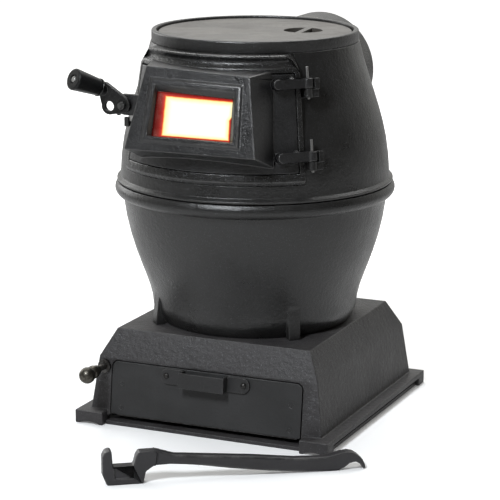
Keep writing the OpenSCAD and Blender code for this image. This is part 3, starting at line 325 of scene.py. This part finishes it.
def blacked_iron(name, colour, rough, grains, depth, mottle=0.25, worn=0.6, dust=0.25,
                 dust_colour=(0.085, 0.08, 0.076), painted_glint=0.0, worn_colour=(0.11, 0.108, 0.105)):
    material, tree, shader = new_material(name)
    skin = place_group(tree, cast_skin, grains)
    rub = place_group(tree, rubbed_edges, worn)["Mask"]
    powder = place_group(tree, settled_dust, dust)["Mask"]
    coat = mix_colours(tree, skin["Mottle"], scaled(colour, 1 - mottle), scaled(colour, 1 + mottle))
    # Painted shade in the pinholes.
    coat = mix_colours(tree, times(tree, skin["Pits"], pit_shade_share), coat, scaled(colour, pit_painted_shade))
    # Painted glints: a few grains get a lighter, bluish colour in place of real highlights.
    coat = mix_colours(tree, times(tree, skin["Painted Glints"], painted_glint), coat, painted_glint_colour)
    coat = mix_colours(tree, powder, coat, dust_colour)
    feed(tree, shader.inputs["Base Color"], mix_colours(tree, rub, coat, worn_colour))
    smoother, rougher = rough - mottle_roughness, rough + mottle_roughness
    gloss = fit_range(tree, skin["Mottle"], 0, 1, smoother, rougher)
    gloss = plus(tree, gloss, times(tree, powder, dust_roughness))
    gloss = maths(tree, "SUBTRACT", gloss, times(tree, rub, rub_gloss))
    gloss = plus(tree, gloss, times(tree, skin["Pits"], pit_roughness), clamp=True)
    feed(tree, shader.inputs["Roughness"], gloss)
    feed(tree, shader.inputs["Metallic"], times(tree, rub, rub_metal))
    raise_bumps(tree, shader, skin["Height"], depth)
    return material


print("the recipe takes a colour, a roughness, a grain and a depth")

# %% [markdown]
# The pieces were not all treated alike. The base is coarse and dry, the pot and the door were
# polished, the door's frame is the shiniest, the drawer front is painted and dull, and the loose
# lifter is rubbed by hands and hot iron. One recipe with other numbers keeps them a family.

# %% Iron for each kind of casting
base_iron = blacked_iron("base_iron", (0.0245, 0.0225, 0.0235), 0.54, grains=560, depth=0.00085,
                         dust=0.3, painted_glint=0.4)
pot_iron = blacked_iron("pot_iron", (0.0110, 0.0107, 0.0105), 0.33, grains=820, depth=0.0004,
                        worn=0.4, dust=0.2, painted_glint=0.2)
frame_iron = blacked_iron("frame_iron", (0.0110, 0.0107, 0.0105), 0.26, grains=620, depth=0.0007,
                          worn=0.4, dust=0.2, painted_glint=0.3)
door_iron = blacked_iron("door_iron", (0.0115, 0.0113, 0.0118), 0.34, grains=820, depth=0.00042,
                         painted_glint=0.2)
front_iron = blacked_iron("front_iron", (0.017, 0.0168, 0.0172), 0.58, grains=1000, depth=0.00024,
                          mottle=0.35, dust=0.1)
lifter_iron = blacked_iron("lifter_iron", (0.0195, 0.0185, 0.0205), 0.36, grains=700, depth=0.0004,
                           mottle=0.3, worn=0.8, dust=0.12)
print("blacked iron:", [m.name for m in bpy.data.materials if m.name.endswith("iron")])

# %% [markdown]
# Two castings differ more. The latch lever has a thick, dull coat that throws back little light,
# so its specular level is lowered. The grate has burnt off its coat: it is scaly, rust brown and
# covered with pale ash.

# %% Iron for the lever and the grate
lever_iron = blacked_iron("lever_iron", (0.0065, 0.0062, 0.0058), 0.36, grains=600, depth=0.0005,
                          mottle=0.5, worn=0.7, painted_glint=0.3)
lever_iron.node_tree.nodes["Principled BSDF"].inputs["Specular IOR Level"].default_value = 0.3
grate_iron = blacked_iron("grate_iron", (0.050, 0.031, 0.022), 0.8, grains=600, depth=0.0006,
                          mottle=0.5, worn=0.3, dust=0.6, dust_colour=(0.19, 0.175, 0.16))
print("also:", lever_iron.name, grate_iron.name)

# %% [markdown]
# The lid is the one casting whose top was turned flat on a lathe. Its coat is thin and warm grey,
# and it is painted much lighter than the other castings, partly as a painted sheen for the overhead
# light that its flat top reflects. Faint rings from the tool still show, with pale wiped and dark
# smoky clouds over them. The rings could be cut into the mesh, but they are far too fine, so a wave
# of rings round the stove's axis is added to the bump of the same iron recipe.

# %% The turned lid
ring_scale, ring_height = 150, 0.5
waves_per_unit = 20 / (2 * math.pi)  # a wave texture turns by 20 radians per unit, times its scale

# The lid's light warm grey is partly its thin coat and partly a painted sheen for the overhead
# light its flat top reflects.
lid_iron = blacked_iron("lid_iron", (0.062, 0.056, 0.050), 0.40, grains=1100, depth=0.00012,
                        mottle=0.3, worn=0.7, dust=0.5, dust_colour=(0.15, 0.14, 0.128))
tree = lid_iron.node_tree
lid_shader = next(n for n in tree.nodes if n.type == "BSDF_PRINCIPLED")
bump = next(n for n in tree.nodes if n.type == "BUMP")
rings = add_node(tree, "ShaderNodeTexWave", wave_type="RINGS", rings_direction="Z")
feed(tree, rings.inputs["Vector"], own_place(tree))
for label, value in (("Scale", ring_scale), ("Distortion", 1.2), ("Detail", 3),
                     ("Detail Scale", 1.5)):
    rings.inputs[label].default_value = value
skin_height = bump.inputs["Height"].links[0].from_socket
ring_bumps = times(tree, rings.outputs["Fac"], ring_height)
feed(tree, bump.inputs["Height"], plus(tree, skin_height, ring_bumps))
print("rings are", round(1000 / (waves_per_unit * ring_scale), 1), "mm apart")

# %% Wiped and smoky clouds on the lid
coat, gloss = (lid_shader.inputs[label].links[0].from_socket
               for label in ("Base Color", "Roughness"))
streaks = noise(tree, own_place(tree, stretch=(0.075, 0.05, 0.1), turn=(0, 0, 0.25)), 1.0, 4, 0.6)
wiped = fit_range(tree, streaks, 0.48, 0.68)
stains = noise(tree, own_place(tree, stretch=(0.085, 0.06, 0.1), turn=(0, 0, 0.5),
                               centre=(0.3, 0.2, 0)), 1.0, 5, 0.65)
smoky = fit_range(tree, stains, 0.48, 0.70)
coat = mix_colours(tree, times(tree, wiped, 0.45), coat, (0.115, 0.104, 0.090))
coat = mix_colours(tree, times(tree, smoky, 0.4), coat, (0.032, 0.028, 0.024))
feed(tree, lid_shader.inputs["Base Color"], coat)
gloss = maths(tree, "SUBTRACT", gloss, times(tree, wiped, 0.10))
feed(tree, lid_shader.inputs["Roughness"], plus(tree, gloss, times(tree, smoky, 0.16)))
print("lid_iron:", len(tree.nodes), "nodes")

# %% [markdown]
# ## Bare and darkened steel
# Pins, rivets, screws, the shaker rod and the latch parts are small bits of steel. Handling keeps
# some bright, heat turns others brown and blue. Full mirrors would look like chrome. So one recipe
# mixes a metal colour with a darker tarnish in clouds, adds scratches, and lets the corners shine.

# %% The recipe for steel
steel_grains, clouds_per_metre = 1500, 160
tarnish_roughness, bright_corner = 0.18, 1.7


def handled_steel(name, colour, tarnish, rough, cover=0.5, scratch=0.35, depth=0.00008, metal=1.0):
    material, tree, shader = new_material(name)
    skin = place_group(tree, cast_skin, steel_grains)
    rub = place_group(tree, rubbed_edges, 1.0)["Mask"]
    lines = place_group(tree, fine_scratches, scratch)["Mask"]
    cloudy = noise(tree, own_place(tree), clouds_per_metre, 5, 0.65)
    bright = fit_range(tree, cloudy, 0.62 - cover * 0.4, 0.78 - cover * 0.4)
    tone = mix_colours(tree, bright, tarnish, colour)
    shine = [min(1, part) for part in scaled(colour, bright_corner)]
    tone = mix_colours(tree, maths(tree, "MAXIMUM", rub, lines), tone, shine)
    feed(tree, shader.inputs["Base Color"], tone)
    feed(tree, shader.inputs["Roughness"],
         fit_range(tree, bright, 0, 1, rough + tarnish_roughness, rough))
    shader.inputs["Metallic"].default_value = metal
    raise_bumps(tree, shader, maths(tree, "SUBTRACT", skin["Height"], lines), depth)
    return material


print("the recipe takes a colour, a tarnish and a roughness")

# %% Steel and bronze for the fittings
pin_steel = handled_steel("pin_steel", (0.40, 0.40, 0.40), (0.24, 0.23, 0.22), 0.30,
                          cover=0.7, scratch=0.1, depth=0.00002)
rivet_steel = handled_steel("rivet_steel", (0.085, 0.082, 0.08), (0.03, 0.028, 0.027), 0.36,
                            scratch=0.2, depth=0.00004)
bolt_steel = handled_steel("bolt_steel", (0.20, 0.19, 0.18), (0.07, 0.06, 0.055), 0.38)
latch_steel = handled_steel("latch_steel", (0.11, 0.11, 0.108), (0.03, 0.029, 0.028), 0.36)
rod_steel = handled_steel("rod_steel", (0.24, 0.235, 0.225), (0.09, 0.08, 0.07), 0.32, scratch=0.6)
bushing_steel = handled_steel("bushing_steel", (0.09, 0.088, 0.085), (0.04, 0.036, 0.033), 0.42)
knob_bronze = handled_steel("knob_bronze", (0.105, 0.098, 0.084), (0.040, 0.037, 0.032), 0.34,
                            cover=0.7, scratch=0.15, depth=0.00003)
pan_steel = handled_steel("pan_steel", (0.13, 0.13, 0.134), (0.09, 0.086, 0.082), 0.50,
                          scratch=0.25, depth=0.00003, metal=0.8)
print("steel:", [m.name for m in bpy.data.materials if "steel" in m.name or "bronze" in m.name])

# %% [markdown]
# ## Painted sheet
# The drawer pull and the glass retainer are strips of sheet with black enamel: smoother than a
# casting, with a coat that chips to grey metal at the corners. The iron recipe is too coarse for
# them, so this shorter one keeps only the mottle, the rubbed corners and the scratches.

# %% The recipe for painted sheet
paint_grains, paint_depth = 600, 0.00012
bare_colour, bare_metal = (0.15, 0.145, 0.14), 0.7


def painted_sheet(name, colour, rough):
    material, tree, shader = new_material(name)
    skin = place_group(tree, cast_skin, paint_grains)
    rub = place_group(tree, rubbed_edges, 0.8)["Mask"]
    lines = place_group(tree, fine_scratches, 0.3)["Mask"]
    coat = mix_colours(tree, skin["Mottle"], scaled(colour, 0.8), scaled(colour, 1.25))
    bare = maths(tree, "MAXIMUM", rub, times(tree, lines, 0.4))
    feed(tree, shader.inputs["Base Color"], mix_colours(tree, bare, coat, bare_colour))
    feed(tree, shader.inputs["Roughness"],
         fit_range(tree, skin["Mottle"], 0, 1, rough - 0.06, rough + 0.08))
    feed(tree, shader.inputs["Metallic"], times(tree, bare, bare_metal))
    raise_bumps(tree, shader, skin["Height"], paint_depth)
    return material


pull_paint = painted_sheet("pull_paint", (0.0135, 0.0132, 0.0138), 0.42)
retainer_paint = painted_sheet("retainer_paint", (0.02, 0.019, 0.018), 0.55)
print("painted:", pull_paint.name, retainer_paint.name)

# %% [markdown]
# ## The moulded grip
# The latch lever's grip is black moulded resin, the glossiest thing on the stove. Paint over iron
# would show grain, and this shows almost none. It gets the darkest colour, a low roughness, a few
# hairlines, and a lowered specular level so that its flat end doesn't turn grey in the soft light.

# %% Glossy resin
grip_resin, tree, shader = new_material("grip_resin")
skin = place_group(tree, cast_skin, 420)
lines = place_group(tree, fine_scratches, 0.5)["Mask"]
rub = place_group(tree, rubbed_edges, 0.5)["Mask"]
resin = mix_colours(tree, skin["Mottle"], (0.0045, 0.0045, 0.005), (0.009, 0.0088, 0.009))
resin = mix_colours(tree, times(tree, lines, 0.4), resin, (0.05, 0.05, 0.052))
feed(tree, shader.inputs["Base Color"], mix_colours(tree, rub, resin, (0.02, 0.02, 0.021)))
gloss = fit_range(tree, skin["Mottle"], 0, 1, 0.24, 0.34)
feed(tree, shader.inputs["Roughness"], plus(tree, gloss, times(tree, lines, 0.3)))
shader.inputs["Specular IOR Level"].default_value = 0.22
raise_bumps(tree, shader, skin["Height"], 0.00003)
print("grip_resin:", len(tree.nodes), "nodes")

# %% [markdown]
# ## Rope for the seals
# The seals are braided glass rope, pale when new and sooty in use. A real braid could be modelled
# strand by strand, but the strips are a few millimetres wide and mostly hidden. Two crossed waves
# give the plait as a bump and a colour; the colour is darker between the strands, which is painted
# shade, and soot lies over it in clouds.

# %% Braided rope
plait_scale = 110

glass_rope, tree, shader = new_material("glass_rope")
plaits = []
for turn in (0.7, -0.7):
    weave = add_node(tree, "ShaderNodeTexWave", wave_type="BANDS", bands_direction="X")
    feed(tree, weave.inputs["Vector"], own_place(tree, turn=(0.4, turn, turn)))
    weave.inputs["Scale"].default_value = plait_scale
    weave.inputs["Distortion"].default_value = 0.6
    plaits.append(weave.outputs["Fac"])
plait = maths(tree, "MAXIMUM", plaits[0], plaits[1])
soot = fit_range(tree, noise(tree, own_place(tree), 60, 5, 0.65), 0.35, 0.68)
# Darker where the plait is low: painted shade between the strands.
yarn = mix_colours(tree, plait, (0.10, 0.095, 0.085), (0.34, 0.32, 0.28))
yarn = mix_colours(tree, times(tree, soot, 0.75), yarn, (0.035, 0.033, 0.031))
feed(tree, shader.inputs["Base Color"], yarn)
feed(tree, shader.inputs["Roughness"], fit_range(tree, soot, 0, 1, 0.85, 0.95))
fluff = noise(tree, own_place(tree), 1500, 2)
raise_bumps(tree, shader, plus(tree, plait, fluff), 0.0006)
print("plaits are", round(1000 / (waves_per_unit * plait_scale), 1), "mm apart")

# %% [markdown]
# ## Hot glass
# Through the window one sees the fire: a white-hot field with a notch in its right side, a thin
# orange and red rim, and a wide dark red band on the left, where the fire lights the side of its
# box. A flame modelled behind the pane would be hidden from most sides, and soot and glass would
# dim it. Emission on the glass shows the fire from any side. Its pattern follows from how far a
# point lies inside the bright field, in millimetres on the glass.

# %% Distance inside the white-hot field
millimetre = 0.001
field_left, field_foot, field_top, top_fall = 41.0, 374.0, 418.2, 0.018
notch_low, notch_high, notch_right, field_right = 396.5, 402.0, 43.6, 47.2

fire_glass, tree, shader = new_material("fire_glass")
spot = add_node(tree, "ShaderNodeSeparateXYZ")
feed(tree, spot.inputs[0], own_place(tree, stretch=(millimetre, millimetre, millimetre)))
across, height = spot.outputs["X"], spot.outputs["Z"]
from_left = plus(tree, across, field_left)
notch = fit_range(tree, height, notch_low, notch_high, notch_right, field_right)
ledge = fit_range(tree, height, 396.0, field_foot, 0.0, 1.6)
from_right = maths(tree, "SUBTRACT", plus(tree, notch, ledge), across)
top_edge = maths(tree, "SUBTRACT", field_top, times(tree, across, top_fall))
from_top = maths(tree, "SUBTRACT", top_edge, height)
from_foot = maths(tree, "SUBTRACT", height, field_foot)
print("the bright field is about", round(field_left + field_right), "by",
      round(field_top - field_foot), "mm")

# %% [markdown]
# The nearest side decides how hot a point looks. The left side fades over a long way, and the
# others are made steeper, so that their red rim stays thin. A little ripple keeps the rim from
# looking ruled.

# %% Join the four sides
sides = maths(tree, "MINIMUM", from_left, times(tree, from_right, 1.6))
ends = maths(tree, "MINIMUM", times(tree, from_top, 1.5), times(tree, from_foot, 2.2))
inside = maths(tree, "MINIMUM", sides, ends)
ripple = fit_range(tree, noise(tree, own_place(tree), 130, 3), 0.2, 0.8, -0.4, 0.4)
inside = plus(tree, inside, ripple)
print("four sides joined, with a ripple")

# %% Fire colours on the glass
coldest, hottest, fire_strength = -16.0, 14.0, 1.6
fire_steps = [
    (0.0, (0.008, 0.0, 0.0)), (0.133, (0.04, 0.002, 0.002)), (0.367, (0.15, 0.006, 0.005)),
    (0.475, (0.32, 0.010, 0.008)), (0.512, (0.56, 0.045, 0.010)), (0.537, (0.66, 0.34, 0.07)),
    (0.57, (0.67, 0.60, 0.27)), (0.80, (0.68, 0.67, 0.58)), (1.0, (0.70, 0.70, 0.70))]

heat = add_node(tree, "ShaderNodeValToRGB")
feed(tree, heat.inputs[0], fit_range(tree, inside, coldest, hottest))
ramp = heat.color_ramp
for index, (at, colour) in enumerate(fire_steps):
    stop = ramp.elements[index] if index < 2 else ramp.elements.new(at)
    stop.position, stop.color = at, (*colour, 1)
print("fire colours:", len(ramp.elements), "stops")

# %% [markdown]
# Only the glass's outer face may glow, or its edges would shine through the frame. The glass leans
# back by 15 degrees, so the distance along its outward direction tells the outer face from the
# inner one. Under the glow the pane is dark, hazy and a little uneven from soot.

# %% Let only the outer face glow
lean_sine, lean_cosine = 0.2588, 0.9659
outward = maths(tree, "SUBTRACT", times(tree, height, lean_sine),
                times(tree, spot.outputs["Y"], lean_cosine))
outer_face = fit_range(tree, outward, 267.8, 268.4)
glow = mix_colours(tree, outer_face, (0.004, 0.001, 0.0), heat.outputs[0])
feed(tree, shader.inputs["Emission Color"], glow)
shader.inputs["Emission Strength"].default_value = fire_strength
haze = fit_range(tree, noise(tree, own_place(tree), 70, 5, 0.6), 0.35, 0.7)
pane = mix_colours(tree, haze, (0.012, 0.008, 0.006), (0.045, 0.03, 0.022))
feed(tree, shader.inputs["Base Color"], pane)
feed(tree, shader.inputs["Roughness"], fit_range(tree, haze, 0, 1, 0.12, 0.3))
raise_bumps(tree, shader, haze, 0.00002)
print("fire_glass:", len(tree.nodes), "nodes")

# %% [markdown]
# ## Soft edges
# A sand casting has no knife edges: every corner is rounded by the pattern and by fettling. The
# solids from CAD have sharp ones. One way is a Bevel modifier on each object, but the CAD meshes
# are loose triangles, and it would bevel their seams. So a copy is merged, its flat faces are
# joined again, and only its real corners are bevelled. The bevels are marked as worn.

# %% Find sharp edges and bevel them
corner_angle = math.radians(28)


def sharp_edges(shape):
    return [edge for edge in shape.edges
            if len(edge.link_faces) == 2 and edge.calc_face_angle() > corner_angle]


def round_edges(shape, edges, width, steps):
    made = bmesh.ops.bevel(shape, geom=edges, offset=width, segments=steps, profile=0.5,
                           affect="EDGES", clamp_overlap=False, material=-1, loop_slide=True)
    return made["faces"]


print("edges over", round(math.degrees(corner_angle)), "degrees count as corners")

# %% Copy a solid and round its corners
flat_angle = math.radians(0.6)
merge_gap = 2e-6
corner_steps, wide_steps = 2, 3


def rounded_copy(node, width, wide=()):
    shape = bmesh.new()
    shape.from_mesh(frame["nodes"][node].data)
    bmesh.ops.remove_doubles(shape, verts=shape.verts, dist=merge_gap)
    bmesh.ops.dissolve_limit(shape, angle_limit=flat_angle, verts=shape.verts, edges=shape.edges)
    worn = shape.verts.layers.float.new("worn")
    done = shape.faces.layers.int.new("before")
    for radius, fits in wide:
        chosen = [edge for edge in sharp_edges(shape) if edge.is_convex and fits(edge)
                  and not any(face[done] for face in edge.link_faces)]
        for face in round_edges(shape, chosen, radius * millimetre, wide_steps):
            face[done] = 1
    rest = [edge for edge in sharp_edges(shape) if not any(face[done] for face in edge.link_faces)]
    rounded = set(round_edges(shape, rest, width * millimetre, corner_steps))
    rounded |= {face for face in shape.faces if face[done]}
    for vertex in shape.verts:
        on_corner = vertex.link_faces and all(face in rounded for face in vertex.link_faces)
        vertex[worn] = 1.0 if on_corner else 0.0
    return shape


print("solids can be copied and rounded")

# %% [markdown]
# A rounded copy becomes a piece of the stove once it rides on the body that its solid belongs to
# and takes that solid's place. Smooth shading with sharp edges kept above 35 degrees hides the
# facets of the round walls, and weighted normals keep the flat faces flat up to their bevels.

# %% Turn a finished shape into a piece of the stove
smooth_angle = math.radians(35)


def finish_piece(name, shape, material, body, replaced):
    mesh = bpy.data.meshes.new(name)
    shape.to_mesh(mesh)
    shape.free()
    mesh.materials.append(material)
    for face in mesh.polygons:
        face.use_smooth = True
    mesh.set_sharp_from_angle(angle=smooth_angle)
    piece = bpy.data.objects.new(name, mesh)
    bpy.context.scene.collection.objects.link(piece)
    level = piece.modifiers.new("even_shading", "WEIGHTED_NORMAL")
    level.mode = "FACE_AREA_WITH_ANGLE"
    level.keep_sharp = True
    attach(piece, body)
    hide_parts(*replaced)
    print(piece.name, len(mesh.polygons), "faces")


print("shapes can become pieces")

# %% [markdown]
# ## Castings
# Some edges have a larger radius than the rest of their casting: those that stand out from the
# window housing, the sides of the raised door frame, the hinge straps and the lifter's shaft. They
# could be picked by number, but numbers change with the mesh. Their place picks them safely. The
# upper body is a cone, so the distance from the stove's axis, with the cone's taper added, tells
# how far a point stands out from the body.

# %% Edges of the housing, the frame and the straps
taper = 0.161
door_plate, body_wall = 0.2215, 0.2135
strap_left, housing_left, housing_right = 0.070, -0.104, 0.098


def stand_out(vertex):
    return math.hypot(vertex.co.x, vertex.co.y) + taper * vertex.co.z


def on_housing(edge):
    places = [vertex.co.x for vertex in edge.verts]
    return (max(stand_out(vertex) for vertex in edge.verts) > door_plate
            and max(places) < housing_right and min(places) > housing_left
            and edge.calc_length() > 0.015)


def on_frame_side(edge):
    return (edge.calc_length() > 0.005
            and all(stand_out(vertex) > body_wall for vertex in edge.verts))


def on_strap(edge):
    return (min(stand_out(vertex) for vertex in edge.verts) > door_plate
            and min(vertex.co.x for vertex in edge.verts) > strap_left
            and edge.calc_length() > 0.003)


print("the door and its frame have three kinds of wider corner")

# %% Edges of the lifter's shaft
lifter_turn = math.radians(35)
lifter_x, lifter_y = 0.0272, 0.3665
shaft_start, shaft_end = 0.074, 0.270


def on_shaft(edge):
    along = [(vertex.co.x + lifter_x) * math.cos(lifter_turn)
             + (vertex.co.y + lifter_y) * math.sin(lifter_turn) for vertex in edge.verts]
    return min(along) > shaft_start and max(along) < shaft_end


print("the shaft is", round(1000 * (shaft_end - shaft_start)), "mm long")

# %% [markdown]
# Each casting gets the corner radius that its pattern would have, in millimetres: large on the
# base and the loose tool, small on the lid and the latch. A table keeps the radius and the iron
# of each node side by side.

# %% Dress the castings
castings = {
    "base_casting": (1.6, base_iron), "floor_plate": (0.8, base_iron), "fire_pot": (1.0, pot_iron),
    "upper_body": (0.7, pot_iron), "door_frame": (1.2, frame_iron), "top_ring": (0.9, pot_iron),
    "flue_neck": (0.8, pot_iron), "latch_keeper": (0.7, pot_iron), "flue_collar": (1.2, pot_iron),
    "door": (1.1, door_iron), "lid": (0.7, lid_iron), "lifter": (1.6, lifter_iron),
    "drawer_front": (0.9, front_iron), "latch_lever": (0.9, lever_iron),
    "grate": (0.8, grate_iron), "crank_arm": (0.5, grate_iron)}
wide_edges = {
    "door": ((1.7, on_housing), (2.9, on_strap)), "door_frame": ((1.35, on_frame_side),),
    "lifter": ((3.6, on_shaft),)}
for node, (radius, material) in castings.items():
    shape = rounded_copy(node, radius, wide_edges.get(node, ()))
    finish_piece(node + "_cast", shape, material, body_of[node], [node])

# %% [markdown]
# ## Fittings
# Sheet, steel and resin have much smaller radii than the castings: a turned edge is broken by a
# few tenths of a millimetre, and a bent strip by a little more. The same helpers make them.

# %% Dress the sheet, steel and resin pieces
fittings = {
    "drawer_pull": (0.7, pull_paint), "glass_retainer": (0.4, retainer_paint),
    "ash_pan": (0.35, pan_steel), "hinge_pins": (0.4, pin_steel),
    "pull_rivets": (0.5, rivet_steel), "front_rivets": (0.3, front_iron),
    "pot_bolts": (0.4, bolt_steel), "collar_bolts": (0.4, bolt_steel),
    "crank_bolt": (0.4, bolt_steel), "plate_screws": (0.3, bolt_steel),
    "retainer_screws": (0.3, bolt_steel), "rod_bushing": (0.5, bushing_steel),
    "shaker_rod": (0.4, rod_steel), "rod_knob": (0.4, knob_bronze),
    "latch_bolt": (0.4, latch_steel), "latch_cam": (0.5, latch_steel),
    "latch_nut": (0.3, latch_steel), "grip_ferrule": (0.4, latch_steel),
    "hand_grip": (0.7, grip_resin), "grip_bolt": (0.3, pin_steel)}
for node, (radius, material) in fittings.items():
    finish_piece(node + "_fit", rounded_copy(node, radius), material, body_of[node], [node])

# %% [markdown]
# ## Seals and glass
# The seals and the glass keep their CAD shape, because their form is a plain strip or pane and
# their edges are hidden. They only need their finish, so the material goes straight on the solid.

# %% Dress the seals and the glass
ropes = ("belly_seal", "collar_gasket", "door_gasket", "glass_gasket")
for node in (*ropes, "window_glass"):
    thing = frame["nodes"][node]
    thing.data.materials.clear()
    thing.data.materials.append(glass_rope if node in ropes else fire_glass)
print("dressed as they are:", *ropes, "window_glass")

# %% [markdown]
# ## Studio
# The stove stands on white paper. The paper is bright and almost without shadow, while the iron
# stays dark. If the paper lit the stove as brightly as it looks, the iron would turn grey from
# below. So the paper glows for the camera and is duller for all other rays. Close to the stove
# its glow is weaker, which lets a soft contact shadow show.

# %% Make the paper floor
paper_radius = 14
glow_from, glow_full = 0.5, 1.3

paper_shape = bmesh.new()
bmesh.ops.create_circle(paper_shape, cap_ends=True, segments=96, radius=paper_radius)
paper_data = bpy.data.meshes.new("paper")
paper_shape.to_mesh(paper_data)
paper_shape.free()
paper = bpy.data.objects.new("paper", paper_data)
bpy.context.scene.collection.objects.link(paper)
print("paper:", 2 * paper_radius, "m across")

# %% Make the white paper's finish
paper_white, tree, shader = new_material("paper_white")
fibres = noise(tree, own_place(tree), 300, 4)
seen_by_camera = add_node(tree, "ShaderNodeLightPath").outputs["Is Camera Ray"]
sheet = mix_colours(tree, fibres, (0.90, 0.90, 0.90), (0.94, 0.94, 0.94))
sheet = mix_colours(tree, seen_by_camera, (0.55, 0.55, 0.55), sheet)
feed(tree, shader.inputs["Base Color"], sheet)
feed(tree, shader.inputs["Roughness"], fit_range(tree, fibres, 0, 1, 0.85, 0.95))
reach = add_node(tree, "ShaderNodeVectorMath", operation="LENGTH")
feed(tree, reach.inputs[0], own_place(tree))
far_off = fit_range(tree, reach.outputs["Value"], glow_from, glow_full)
white = mix_colours(tree, far_off, (0.15, 0.15, 0.15), (1, 1, 1))
white = mix_colours(tree, seen_by_camera, (0.27, 0.27, 0.27), white)
feed(tree, shader.inputs["Emission Color"], white)
shader.inputs["Emission Strength"].default_value = 0.8
raise_bumps(tree, shader, fibres, 0.00003)
paper_data.materials.append(paper_white)
print("paper_white:", len(tree.nodes), "nodes")

# %% [markdown]
# A white world seen only by the camera keeps the backdrop clean. For the light itself the world is
# a gradient: bright behind and to the left, dim in front, so that the round castings are dark in
# the middle and edged with light. A picture of a studio would do this too, but it would be one
# more file to carry along.

# %% Make the world
dim_side, bright_side = (0.105, 0.101, 0.093), (0.80, 0.80, 0.77)

world = bpy.data.worlds.new("studio")
bpy.context.scene.world = world
world.use_nodes = True
sky = world.node_tree
sky.nodes.clear()
world_out = add_node(sky, "ShaderNodeOutputWorld")
seen = add_node(sky, "ShaderNodeBackground")
feed(sky, seen.inputs["Color"], (1, 1, 1))
fill = add_node(sky, "ShaderNodeBackground")
aim = add_node(sky, "ShaderNodeSeparateXYZ")
feed(sky, aim.inputs[0], add_node(sky, "ShaderNodeTexCoord").outputs["Generated"])
behind = plus(sky, aim.outputs["Y"], times(sky, aim.outputs["X"], -0.60))
behind = fit_range(sky, behind, -0.25, 0.90)
feed(sky, fill.inputs["Color"], mix_colours(sky, behind, dim_side, bright_side))
pick = add_node(sky, "ShaderNodeMixShader")
camera_ray = add_node(sky, "ShaderNodeLightPath").outputs["Is Camera Ray"]
for socket, value in zip(pick.inputs, (camera_ray, fill.outputs[0], seen.outputs[0])):
    feed(sky, socket, value)
feed(sky, world_out.inputs["Surface"], pick.outputs[0])
print("world:", len(sky.nodes), "nodes")

# %% [markdown]
# Three soft lights do the rest. Point lights would leave hard spots on the satin iron, so all are
# large rectangles: a wide one above and behind, a tall one at the left, and a small cool one high
# in front that puts the highlights on the door frame and the bead. The plain view transform keeps
# the paper white and the iron black.


# %% Hang the soft lights
def soft_light(name, place, target, size, watts, colour=(1, 1, 1)):
    data = bpy.data.lights.new(name, "AREA")
    data.shape = "RECTANGLE"
    data.size, data.size_y = size
    data.energy = watts
    data.color = colour
    lamp = bpy.data.objects.new(name, data)
    lamp.location = place
    towards = Vector(target) - Vector(place)
    lamp.rotation_euler = towards.to_track_quat("-Z", "Y").to_euler()
    bpy.context.scene.collection.objects.link(lamp)


soft_light("overhead", (-0.2, 1.0, 2.1), (0, 0, 0.4), (2.4, 1.4), 40)
soft_light("left_side", (-2.1, 0.7, 1.0), (0, 0, 0.3), (0.9, 1.3), 12)
soft_light("front_strip", (-0.10, -1.62, 1.66), (0, 0, 0.45), (0.30, 0.55), 40, (0.92, 0.96, 1.0))
bpy.context.scene.view_settings.view_transform = "Standard"
bpy.context.scene.view_settings.look = "None"
